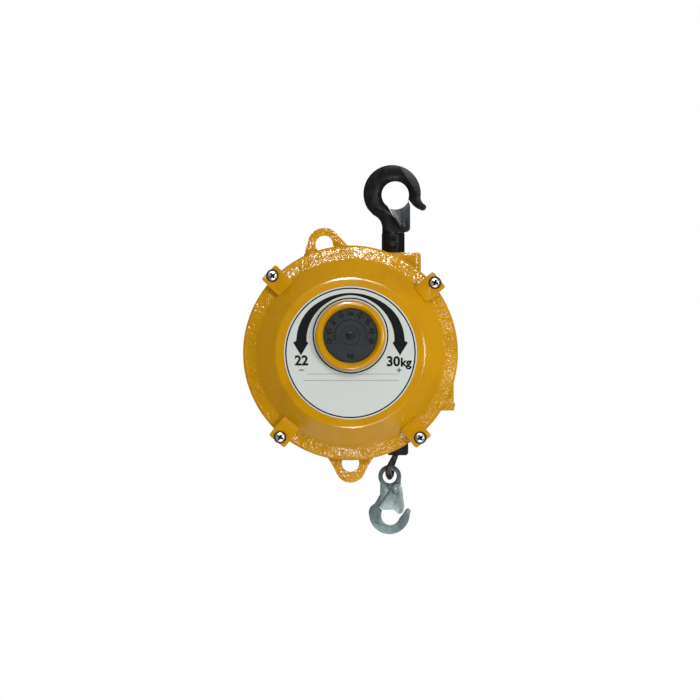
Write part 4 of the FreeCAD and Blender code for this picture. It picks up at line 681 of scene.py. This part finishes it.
def lettering(name, words, place, height, y, finish, turn, weight):
    """Upright text as a thin closed mesh, centred on a place (x, z) and thickened by a weight."""
    text = bpy.data.curves.new(name, "FONT")
    text.body = words
    text.size = height / CAPITAL_SHARE
    text.align_x = "CENTER"
    text.align_y = "CENTER"
    text.offset = weight
    text.extrude = LETTER_THICKNESS / 2
    text.resolution_u = 4
    mesh = mesh_of(name, text)
    upright = Matrix.Rotation(math.pi / 2, 4, "X")
    turned = Matrix.Rotation(-math.radians(turn), 4, "Y")
    mesh.transform(Matrix.Translation((place[0], y, place[1])) @ turned @ upright)
    return settle(name, mesh, finish)


# --- Geometry Nodes ---

def new_tree(name, sockets):
    """Geometry tree with named inputs, its group input and its group output."""
    tree = bpy.data.node_groups.new(name, "GeometryNodeTree")
    tree.interface.new_socket("Geometry", in_out="INPUT", socket_type="NodeSocketGeometry")
    for label, kind, value in sockets:
        socket = tree.interface.new_socket(label, in_out="INPUT", socket_type=kind)
        if value is not None:
            socket.default_value = value
    tree.interface.new_socket("Geometry", in_out="OUTPUT", socket_type="NodeSocketGeometry")
    return tree, add(tree, "NodeGroupInput").outputs, add(tree, "NodeGroupOutput")


def end_tree(tree, output, geometry, finish):
    """Closes a tree with Realize Instances and Set Material."""
    real = add(tree, "GeometryNodeRealizeInstances", {"Geometry": geometry}).outputs[0]
    coat = add(tree, "GeometryNodeSetMaterial", {"Geometry": real, "Material": finish_of(finish)})
    tree.links.new(coat.outputs[0], output.inputs["Geometry"])
    return tree


def grown(name, mesh, tree, values, angle=40.0):
    """Plain mesh that a tree makes from a starting mesh, with its inputs set by identifier."""
    source = shown(name, mesh)
    modifier = source.modifiers.new("grow", "NODES")
    modifier.node_group = tree
    for item in tree.interface.items_tree:
        if item.item_type == "SOCKET" and item.in_out == "INPUT" and item.name in values:
            modifier[item.identifier] = values[item.name]
    baked(source)
    source.data.shade_smooth()
    creased(source.data, angle)
    return source


def points_mesh(name, spots):
    """Mesh of one line through the spots, without faces."""
    mesh = bpy.data.meshes.new(name)
    mesh.from_pydata([tuple(s) for s in spots], [(k, k + 1) for k in range(len(spots) - 1)], [])
    return mesh


def strand_tree():
    """Strands laid round a path: each turns about the path once in a lay length."""
    tree, inside, output = new_tree("laid_strands", [
        ("Radius", "NodeSocketFloat", 2.4 * MM), ("Lay", "NodeSocketFloat", 26 * MM),
        ("Strands", "NodeSocketInt", 6), ("Step", "NodeSocketFloat", 1.1 * MM),
        ("Strand share", "NodeSocketFloat", 0.345),
    ])
    path = add(tree, "GeometryNodeMeshToCurve", {"Mesh": inside["Geometry"]}).outputs["Curve"]
    path = add(tree, "GeometryNodeResampleCurve", {"Curve": path, "Length": inside["Step"]},
               mode="LENGTH").outputs["Curve"]
    copies = add(tree, "GeometryNodeDuplicateElements", {
        "Geometry": path, "Amount": inside["Strands"]}, domain="SPLINE")
    along = add(tree, "GeometryNodeSplineParameter").outputs["Length"]
    laid = add(tree, "ShaderNodeMath", {0: along, 1: inside["Lay"]}, operation="DIVIDE")
    share = add(tree, "ShaderNodeMath", {0: copies.outputs["Duplicate Index"],
            1: inside["Strands"]}, operation="DIVIDE")
    turn = add(tree, "ShaderNodeMath", {
            0: add(tree, "ShaderNodeMath", {0: laid, 1: share}, operation="ADD"), 1: 2 * math.pi},
        operation="MULTIPLY")
    normal = add(tree, "GeometryNodeInputNormal").outputs["Normal"]
    tangent = add(tree, "GeometryNodeInputTangent").outputs["Tangent"]
    across = add(tree, "ShaderNodeVectorMath", {0: normal, 1: tangent}, operation="CROSS_PRODUCT")
    reach = add(tree, "ShaderNodeMath", {0: inside["Radius"],
            1: add(tree, "ShaderNodeMath", {0: 1.0, 1: inside["Strand share"]},
                operation="SUBTRACT")}, operation="MULTIPLY")
    cosine = add(tree, "ShaderNodeMath", {0: turn}, operation="COSINE")
    sine = add(tree, "ShaderNodeMath", {0: turn}, operation="SINE")
    parts = [add(tree, "ShaderNodeVectorMath", {0: way,
                "Scale": add(tree, "ShaderNodeMath", {0: share, 1: reach}, operation="MULTIPLY")},
            operation="SCALE").outputs[0] for way, share in ((normal, cosine), (across, sine))]
    offset = add(tree, "ShaderNodeVectorMath", dict(enumerate(parts)), operation="ADD")
    moved = add(tree, "GeometryNodeSetPosition", {
        "Geometry": copies.outputs["Geometry"], "Offset": offset})
    thick = add(tree, "ShaderNodeMath", {0: inside["Radius"], 1: inside["Strand share"]},
        operation="MULTIPLY")
    outline = add(tree, "GeometryNodeCurvePrimitiveCircle", {
        "Resolution": 8, "Radius": thick}).outputs["Curve"]
    both = add(tree, "GeometryNodeJoinGeometry")
    # The strands laid round the path, then the one in the middle.
    for curve in (moved.outputs["Geometry"], path):
        strand = add(tree, "GeometryNodeCurveToMesh", {
            "Curve": curve, "Profile Curve": outline, "Fill Caps": True})
        tree.links.new(strand.outputs["Mesh"], both.inputs[0])
    return end_tree(tree, output, both.outputs[0], "wire")


def tick_tree():
    """Marks standing outward on the points of an arc, each point's normal along its radius."""
    tree, inside, output = new_tree("scale_marks", [
        ("Long", "NodeSocketFloat", 3.0 * MM), ("Short", "NodeSocketFloat", 1.8 * MM),
        ("Width", "NodeSocketFloat", 0.5 * MM), ("Height", "NodeSocketFloat", 0.06 * MM),
        ("Radius", "NodeSocketFloat", 16.3 * MM), ("Start", "NodeSocketFloat", 0.0),
        ("End", "NodeSocketFloat", 0.0), ("Count", "NodeSocketInt", 17),
    ])
    line = add(tree, "GeometryNodeMeshLine", {"Count": inside["Count"]}).outputs["Mesh"]
    index = add(tree, "GeometryNodeInputIndex").outputs[0]
    last = add(tree, "ShaderNodeMath", {0: inside["Count"], 1: 1.0}, operation="SUBTRACT")
    share = add(tree, "ShaderNodeMath", {0: index, 1: last}, operation="DIVIDE")
    sweep = add(tree, "ShaderNodeMath", {0: inside["End"], 1: inside["Start"]},
        operation="SUBTRACT")
    turn = add(tree, "ShaderNodeMath", {
            0: add(tree, "ShaderNodeMath", {0: share, 1: sweep}, operation="MULTIPLY"),
            1: inside["Start"]}, operation="ADD")
    odd = add(tree, "ShaderNodeMath", {0: index, 1: 2.0}, operation="MODULO")
    length = add(tree, "ShaderNodeMix", {"Factor": odd, "A": inside["Long"], "B": inside["Short"]},
                 data_type="FLOAT").outputs[0]
    reach = add(tree, "ShaderNodeMath", {0: inside["Radius"],
            1: add(tree, "ShaderNodeMath", {0: length, 1: 0.5}, operation="MULTIPLY")},
        operation="ADD")
    cosine = add(tree, "ShaderNodeMath", {0: turn}, operation="COSINE")
    sine = add(tree, "ShaderNodeMath", {0: turn}, operation="SINE")
    place = add(tree, "ShaderNodeCombineXYZ", {
            "X": add(tree, "ShaderNodeMath", {0: cosine, 1: reach}, operation="MULTIPLY"),
            "Z": add(tree, "ShaderNodeMath", {0: sine, 1: reach}, operation="MULTIPLY")}).outputs[0]
    placed = add(tree, "GeometryNodeSetPosition", {"Geometry": line, "Position": place}).outputs[0]
    size = add(tree, "ShaderNodeCombineXYZ", {
        "X": length, "Y": inside["Height"], "Z": inside["Width"]}).outputs[0]
    mark = add(tree, "GeometryNodeMeshCube", {"Size": (1, 1, 1)}).outputs["Mesh"]
    back = add(tree, "ShaderNodeMath", {0: turn, 1: -1.0}, operation="MULTIPLY")
    rotation = add(tree, "ShaderNodeCombineXYZ", {"Y": back}).outputs[0]
    marks = add(tree, "GeometryNodeInstanceOnPoints", {
        "Points": placed, "Instance": mark, "Rotation": rotation, "Scale": size}).outputs[0]
    return end_tree(tree, output, marks, "dial_ink")


def screw_mesh(head_r, head):
    """Pan head with a cross recess, its seat on the XZ plane and its top towards -Y."""
    profile = [(head_r * out, -head * up) for out, up in (
        (0.3, 0.99), (0.56, 0.93), (0.78, 0.78), (0.93, 0.52), (1.0, 0.22), (1.0, 0.0))]
    count = 48
    points, faces = [], []
    for ring, (radius, y) in enumerate(profile):
        points += [(x, y, z) for x, z in circle(radius, (0, 0), count)]
        if ring:
            a, b = (ring - 1) * count, ring * count
            following = [(k + 1) % count for k in range(count)]
            faces += [(a + k, a + n, b + n, b + k) for k, n in enumerate(following)]
    faces.append(tuple(range(count)))
    faces.append(tuple((len(profile) - 1) * count + k for k in range(count)))
    body = piece("pan_head", points, faces, "cover_screw")
    tool = cross_tool(head_r * 0.62, head_r * 0.19, head * 0.8, -head)
    cut = body.modifiers.new("recess", "BOOLEAN")
    cut.object = tool
    cut.solver = "EXACT"
    baked(body)
    mesh = body.data
    bpy.data.objects.remove(body)
    bpy.data.objects.remove(tool)
    return mesh


def cross_tool(arm, half, depth, top):
    """Tapering cross driven into a screw head from the plane top."""
    outline = [(arm, half), (half, half), (half, arm), (-half, arm), (-half, half), (-arm, half)]
    outline += [(-x, -z) for x, z in outline]
    points = []
    for share, y in ((1.08, top - 0.4 * depth), (0.55, top + depth)):
        points += [(x * share, y, z * share) for x, z in outline]
    count = len(outline)
    faces = [tuple(range(count)), tuple(range(count, 2 * count))]
    faces += [(k, (k + 1) % count, (k + 1) % count + count, k + count) for k in range(count)]
    return piece("cross_tool", points, faces, "screw")


def screw_tree():
    """Screw heads set on points, each turned by its own seeded angle."""
    tree, inside, output = new_tree("set_screws", [
        ("Head", "NodeSocketObject", None), ("Seed", "NodeSocketInt", 4),
        ("Least turn", "NodeSocketFloat", -0.8), ("Most turn", "NodeSocketFloat", 0.8),
    ])
    source = add(tree, "GeometryNodeObjectInfo", {"Object": inside["Head"]}).outputs["Geometry"]
    angle = add(tree, "FunctionNodeRandomValue", {
        2: inside["Least turn"], 3: inside["Most turn"], "Seed": inside["Seed"]}, data_type="FLOAT")
    rotation = add(tree, "ShaderNodeCombineXYZ", {"Y": angle.outputs[1]}).outputs[0]
    set_on = add(tree, "GeometryNodeInstanceOnPoints", {
        "Points": inside["Geometry"], "Instance": source, "Rotation": rotation}).outputs[0]
    return end_tree(tree, output, set_on, "cover_screw")


# --- Operators ---

class BALANCER_OT_castings(bpy.types.Operator):
    """Case, cover and caps: cast aluminium, edges softened and enamelled"""
    bl_idname = "balancer.castings"
    bl_label = "Castings"

    def execute(self, context):
        edge = casting().edge
        softened("front_cover", "cover", "case", edge)
        softened("main_case", "case", "case", edge)
        softened("worm_cap", "case", "case", 0.4 * MM)
        softened("bearing_cap", "case", "case", 0.4 * MM)
        return {"FINISHED"}


class BALANCER_OT_fasteners(bpy.types.Operator):
    """Pan-head cover screws, cap screws and small pins"""
    bl_idname = "balancer.fasteners"
    bl_label = "Fasteners"

    def execute(self, context):
        head = shown("pan_head", screw_mesh(SCREW_HEAD_R, SCREW_HEAD))
        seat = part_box("cover_screws")[0].y + SCREW_HEAD
        places = [polar(SCREW_CIRCLE, angle, tuple(CASE_MIDDLE.xz)) for angle in TAB_ANGLES]
        mesh = bpy.data.meshes.new("screw_places")
        mesh.from_pydata([(x, seat, z) for x, z in places], [], [])
        screws = grown("cover_screw_heads", mesh, screw_tree(), {"Head": head, "Seed": 4}, 35)
        bpy.data.objects.remove(head)
        rings = []
        for place in places:
            # Thin dark ring under each head, a painted shadow: it draws the shadow line round the
            # head.
            loops = [circle(SCREW_HEAD_R + reach * MM, place, 64) for reach in (0.6, -0.6)]
            rings.append(slab("washer", loops, seat - 0.25 * MM, seat - 0.02 * MM, "rubber"))
        painted_shadow_rings = joined("cover_screw_washers", rings)
        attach(painted_shadow_rings, "case")
        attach(screws, "case")
        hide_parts("cover_screws")
        dress("screw", "cap_screws", "worm_cap_screws")
        dress("steel", "box_pin")
        return {"FINISHED"}


class BALANCER_OT_label(bpy.types.Operator):
    """Printed label plate: two lines, the turning arrow and the load range"""
    bl_idname = "balancer.label"
    bl_label = "Label"

    def execute(self, context):
        dress("label", "label_plate")
        sizes = printing()
        centre = (CASE_MIDDLE.x, CASE_MIDDLE.z)
        dial = (DIAL_AXIS.x, DIAL_AXIS.z)
        half = sizes.line / 2
        back = LABEL_FRONT + 0.02 * MM
        front = LABEL_FRONT - 0.05 * MM
        prints = []
        for radius, middle in ((sizes.ring_radius, centre), (sizes.inner_ring, dial)):
            loops = [circle(radius + half, middle), circle(radius - half, middle)]
            prints.append(slab("line", loops, front, back, "ink"))
        prints.append(slab("arrow", [self.arrow()], front, back, "ink"))
        minus, plus = -51.0, 50.5
        bars = [bar(-45.0, 50.0, -22.15, -21.85), bar(-49.0, 50.0, -28.75, -28.45)]
        bars += [bar(x - 2.6, x + 2.6, -18.4, -17.4) for x in (minus, plus)]
        bars.append(bar(plus - 0.5, plus + 0.5, -20.5, -15.3))
        for corners in bars:
            prints.append(slab("bar", [self.placed(corners)], front, back, "ink"))
        low, high = str(sizes.lowest), str(sizes.highest)
        middle = (front + back) / 2
        for words, x, z, height in ((low, -51.0, -8.4, 10.3), (high, 44.5, -9.3, 10.3),
                                    ("kg", 57.6, -10.2, 9.0)):
            place = tuple(spot(x, 0, z).xz)
            prints.append(lettering("load", words, place, height * MM, middle, "ink", 0, 0.5 * MM))
        sheet = joined("label_print", prints)
        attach(sheet, "case")
        return {"FINISHED"}

    def placed(self, points):
        return [tuple(spot(x, 0, z).xz) for x, z in points]

    def arrow(self):
        """Double-headed arc in mm, hair-thin at the top and widening down to its heads."""
        def outer(bend):
            return 62.3 - 4.6 * max(0.0, (bend - 44) / 34) ** 1.5

        def inner(bend):
            return 60.0 - 12.8 * (bend / 75) ** 1.5

        def bent(radius, end, steps=40):
            bends = [end * k / steps for k in range(steps + 1)]
            return [polar(radius(bend), 90 - bend) for bend in bends]

        right_out = bent(outer, 77.4)
        right_in = bent(inner, 75)
        right_head = [(59.8, 10.7), (51.5, -2.6), (43.8, 10.3)]
        right = right_out + right_head + right_in[::-1]
        left = [(-x, z) for x, z in right[::-1]]
        return self.placed(right + left[:-1])


class BALANCER_OT_dial(bpy.types.Operator):
    """Load dial: turned disc with its scale, numbers and centre screw"""
    bl_idname = "balancer.dial"
    bl_label = "Dial"

    def execute(self, context):
        sizes = printing()
        dress("dial", "dial_face", "dial_gear")
        dress("dial_screw", "dial_screw")
        centre = (DIAL_AXIS.x, DIAL_AXIS.z)
        front = DIAL_FRONT - 0.04 * MM
        back = DIAL_FRONT + 0.02 * MM
        middle = (front + back) / 2
        prints = []
        span = (sizes.scale_start, sizes.scale_end)
        arc = circle(16.6 * MM, centre, 90, *span) + circle(16.0 * MM, centre, 90, *span[::-1])
        prints.append(slab("arc", [arc], front, back, "dial_ink"))
        loops = [circle(9.9 * MM, centre), circle(9.5 * MM, centre)]
        prints.append(slab("hub_line", loops, front - 0.01 * MM, back, "dial_ink"))
        steps = sizes.highest - sizes.lowest
        for k in range(steps + 1):
            angle = sizes.scale_start + (sizes.scale_end - sizes.scale_start) * k / steps
            place = polar(23.0 * MM, angle, centre)
            prints.append(lettering("number", str(sizes.lowest + k), place, 4.8 * MM, middle,
                                    "dial_ink", 90 - angle, 0.2 * MM))
        prints.append(lettering("unit", "kg", polar(20.6 * MM, -90, centre), 5.4 * MM, middle,
                                "dial_ink", 0, 0.2 * MM))
        ticks = grown("ticks", bpy.data.meshes.new("ticks"), tick_tree(), {
            "Start": math.radians(sizes.scale_start), "End": math.radians(sizes.scale_end),
            "Count": 2 * steps + 1})
        ticks.data.transform(Matrix.Translation((DIAL_AXIS.x, middle, DIAL_AXIS.z)))
        prints.append(ticks)
        scale = joined("dial_scale", prints)
        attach(scale, "dial")
        return {"FINISHED"}


class BALANCER_OT_top_hook(bpy.types.Operator):
    """Forged top hook with its coupler, pin, latch and rivet"""
    bl_idname = "balancer.top_hook"
    bl_label = "Top hook"

    def execute(self, context):
        softened("upper_hook", "black", "hanger", 0.8 * MM)
        softened("hanger", "black", "hanger", 0.4 * MM)
        dress("black", "cross_pin")
        softened("upper_latch", "latch", "upper_latch", 0.3 * MM)
        dress("latch", "upper_rivet")
        dress("steel", "thrust_washer", "hanger_nut")
        dress("spring", "upper_latch_spring")
        return {"FINISHED"}


class BALANCER_OT_load_hook(bpy.types.Operator):
    """Zinc-plated load hook with its latch and rivet"""
    bl_idname = "balancer.load_hook"
    bl_label = "Load hook"

    def execute(self, context):
        softened("load_hook", "hook_zinc", "load_hook", 1.0 * MM)
        softened("load_latch", "latch_zinc", "load_latch", 0.3 * MM)
        dress("latch_zinc", "load_rivet")
        dress("spring", "load_latch_spring")
        return {"FINISHED"}


class BALANCER_OT_rope(bpy.types.Operator):
    """Wire rope of laid strands, its thimble, ferrule and rubber bumper"""
    bl_idname = "balancer.rope"
    bl_label = "Rope"

    def execute(self, context):
        sizes = roping()
        tree = strand_tree()
        values = {"Radius": sizes.radius, "Lay": sizes.lay, "Strands": sizes.strands}
        low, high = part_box("rope_run")
        top = Vector((low.x + sizes.radius, 0, high.z))
        foot = Vector((high.x - sizes.radius, 0, low.z))
        steps = 24
        line = [top.lerp(foot, k / steps) for k in range(steps + 1)]
        straight = grown("rope_run_strands", points_mesh("run", line), tree, values)
        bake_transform(straight)
        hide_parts("rope_run")
        loop = grown("rope_loop_strands", points_mesh("loop", self.loop_line()), tree, values)
        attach(loop, "rope_end")
        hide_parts("rope_loop")
        dress("wire", "wound_rope")
        dress("latch_zinc", "rope_thimble")
        dress("casting", "ferrule")
        softened("bumper", "rubber", "rope_end", 0.5 * MM)
        return {"FINISHED"}

    def loop_line(self):
        """Middle line of the end loop: down one leg, round the eye and up the other."""
        turn = math.radians(roping().turn)
        across = Vector((math.sin(turn), math.cos(turn), 0))
        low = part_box("rope_loop")[0]
        top = Vector((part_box("ferrule")[0].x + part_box("ferrule")[1].x, 0, 0)) / 2
        top.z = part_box("ferrule")[0].z - 1.0 * MM
        bend_r = 10.0 * MM
        bend = Vector((EYE_AXIS.x, 0, low.z + bend_r + roping().radius))
        steps = 24
        spots = []
        for k in range(steps + 1):
            angle = math.pi + math.pi * k / steps
            up = Vector((0, 0, bend_r * math.sin(angle)))
            spots.append(bend + across * (bend_r * math.cos(angle)) + up)
        first = top - across * roping().radius
        last = top + across * roping().radius
        lead = [first.lerp(spots[0], k / 10) for k in range(10)]
        tail = [spots[-1].lerp(last, k / 10) for k in range(1, 11)]
        return lead + spots + tail


class BALANCER_OT_inside(bpy.types.Operator):
    """Spring case, worm, shaft, drum, bearings and pawl inside the case"""
    bl_idname = "balancer.inside"
    bl_label = "Inside"

    def execute(self, context):
        dress("casting", "spring_case", "spring_lid", "rope_drum")
        dress("spring", "main_spring")
        dress("steel", "main_shaft", "shaft_key", "shaft_circlip", "worm", "lock_pawl", "pawl_pin",
              "lid_screws", "front_bearing", "rear_bearing")
        dress("bronze", "hub_bush", "worm_bush", "rope_guide")
        return {"FINISHED"}


class BALANCER_OT_stage(bpy.types.Operator):
    """Pale floor under the balancer, soft light and the camera"""
    bl_idname = "balancer.stage"
    bl_label = "Stage"

    def execute(self, context):
        sizes = staging()
        scene = context.scene
        scene.view_settings.view_transform = "Standard"
        self.floor(sizes)
        self.surround(sizes)
        middle = spot(-0.5, 0, 3.0)
        for name, far, size, power in (
                ("key", (1.3, -1.7, 0.1), 0.5, sizes.key),
                ("high", (0.3, -2.0, 1.5), 0.5, sizes.key),
                ("low", (0.35, -1.1, -0.7), 0.3, sizes.key * 0.13),
                ("high_glint", (-0.2, -1.6, 1.3), 0.4, sizes.glint),
                ("low_glint", (0.07, -0.8, -0.68), 0.2, sizes.glint * 0.06)):
            lamp = self.softbox(name, middle + Vector(far), middle, size, power)
            if name.endswith("glint"):
                lamp.visible_diffuse = False
                lamp.visible_camera = False
        camera = shown("camera", bpy.data.cameras.new("camera"))
        camera.data.lens = sizes.lens
        camera.data.sensor_width = SENSOR_WIDTH
        camera.data.clip_end = 50
        reach = sizes.view_width * sizes.lens / SENSOR_WIDTH
        camera.location = Vector((middle.x, LABEL_FRONT - reach, middle.z))
        camera.rotation_euler = (math.pi / 2, 0, 0)
        scene.camera = camera
        return {"FINISHED"}

    def floor(self, sizes):
        """Round pale floor that fades into the white surround at its rim."""
        rim = circle(1.3, (0, 0), 96)
        mesh = bpy.data.meshes.new("floor")
        mesh.from_pydata([(x, y, -sizes.floor_depth) for x, y in rim], [], [tuple(range(len(rim)))])
        ground = shown("floor", mesh)
        material, tree, shader, place = begin("pale_floor", Roughness=0.85)
        shader.inputs["Base Color"].default_value = linear("#EDEDEB")
        path = add(tree, "ShaderNodeLightPath").outputs
        seen = add(tree, "ShaderNodeMath", {0: path["Is Camera Ray"], 1: path["Is Glossy Ray"]},
            operation="MAXIMUM")
        seen = add(tree, "ShaderNodeMath", {0: seen, 1: path["Is Transmission Ray"]},
            operation="MAXIMUM")
        out = add(tree, "ShaderNodeVectorMath", {
                0: add(tree, "ShaderNodeVectorMath", {0: place, 1: (1, 1, 0)},
                    operation="MULTIPLY")}, operation="LENGTH").outputs["Value"]
        fade = add(tree, "ShaderNodeMapRange", {"Value": out, "From Min": 0.35, "From Max": 0.75,
                "To Min": 0.0, "To Max": 1.0})
        white = add(tree, "ShaderNodeEmission", {"Strength": 1.0}).outputs[0]
        mixed = add(tree, "ShaderNodeMixShader", {
                "Fac": add(tree, "ShaderNodeMath", {0: seen, 1: fade}, operation="MULTIPLY"),
                1: shader.outputs[0], 2: white})
        tree.links.new(mixed.outputs[0], tree.nodes["Material Output"].inputs["Surface"])
        mesh.materials.append(material)

    def surround(self, sizes):
        """Soft light from all round, dimmer in gloss and behind the camera, which sees white."""
        world = bpy.data.worlds.new("surround")
        bpy.context.scene.world = world
        world.use_nodes = True
        tree = world.node_tree
        tree.nodes.clear()
        path = add(tree, "ShaderNodeLightPath").outputs
        seen = add(tree, "ShaderNodeMath", {0: path["Is Camera Ray"],
                1: path["Is Transmission Ray"]}, operation="MAXIMUM")
        mirrored = add(tree, "ShaderNodeMapRange",
            {"Value": path["Is Glossy Ray"], "From Min": 0.0, "From Max": 1.0, "To Min": 1.0,
                "To Max": sizes.mirrored})
        way = add(tree, "ShaderNodeTexCoord").outputs["Generated"]
        glow = add(tree, "ShaderNodeMapRange", {
                "Value": add(tree, "ShaderNodeSeparateXYZ", {"Vector": way}).outputs["Y"],
                "From Min": -0.95, "From Max": -0.2, "To Min": sizes.glow * 0.62,
                "To Max": sizes.glow * 1.25})
        level = add(tree, "ShaderNodeMath", {
                0: add(tree, "ShaderNodeMath", {0: glow, 1: mirrored}, operation="MULTIPLY"),
                1: seen}, operation="MAXIMUM")
        white = add(tree, "ShaderNodeBackground", {"Color": (1, 1, 1, 1), "Strength": level})
        add(tree, "ShaderNodeOutputWorld", {"Surface": white.outputs[0]})

    def softbox(self, name, place, aim, size, power):
        """Round area lamp turned towards the aim."""
        lamp = bpy.data.lights.new(name, "AREA")
        lamp.shape = "DISK"
        lamp.size = size
        lamp.energy = power
        holder = shown(name, lamp)
        holder.location = place
        holder.rotation_euler = (aim - place).to_track_quat("-Z", "Y").to_euler()
        return holder


class BALANCER_PT_panel(bpy.types.Panel):
    """Lists the balancer's settings and pieces"""
    bl_label = "Tool balancer"
    bl_idname = "BALANCER_PT_panel"
    bl_space_type = "VIEW_3D"
    bl_region_type = "UI"
    bl_category = "Balancer"

    def draw(self, context):
        column = self.layout.column()
        for group in (paint(), casting(), printing(), roping(), staging()):
            for name in group.__annotations__:
                column.prop(group, name)
        for operator in OPERATORS:
            column.operator(operator.bl_idname)


GROUPS = {
    "balancer_paint": PaintSettings,
    "balancer_casting": CastingSettings,
    "balancer_print": PrintSettings,
    "balancer_rope": RopeSettings,
    "balancer_stage": StageSettings,
}
OPERATORS = (
    BALANCER_OT_stage, BALANCER_OT_rope, BALANCER_OT_castings, BALANCER_OT_fasteners,
    BALANCER_OT_label, BALANCER_OT_dial, BALANCER_OT_top_hook, BALANCER_OT_load_hook,
    BALANCER_OT_inside,
)


def register():
    for name, group in GROUPS.items():
        bpy.utils.register_class(group)
        setattr(bpy.types.Scene, name, PointerProperty(type=group))
    for kind in OPERATORS + (BALANCER_PT_panel,):
        bpy.utils.register_class(kind)


def unregister():
    for kind in (BALANCER_PT_panel,) + OPERATORS[::-1]:
        bpy.utils.unregister_class(kind)
    for name, group in GROUPS.items():
        delattr(bpy.types.Scene, name)
        bpy.utils.unregister_class(group)


def main():
    register()
    for operator in OPERATORS:
        family, name = operator.bl_idname.split(".")
        getattr(getattr(bpy.ops, family), name)()


if __name__ == "__main__":
    main()
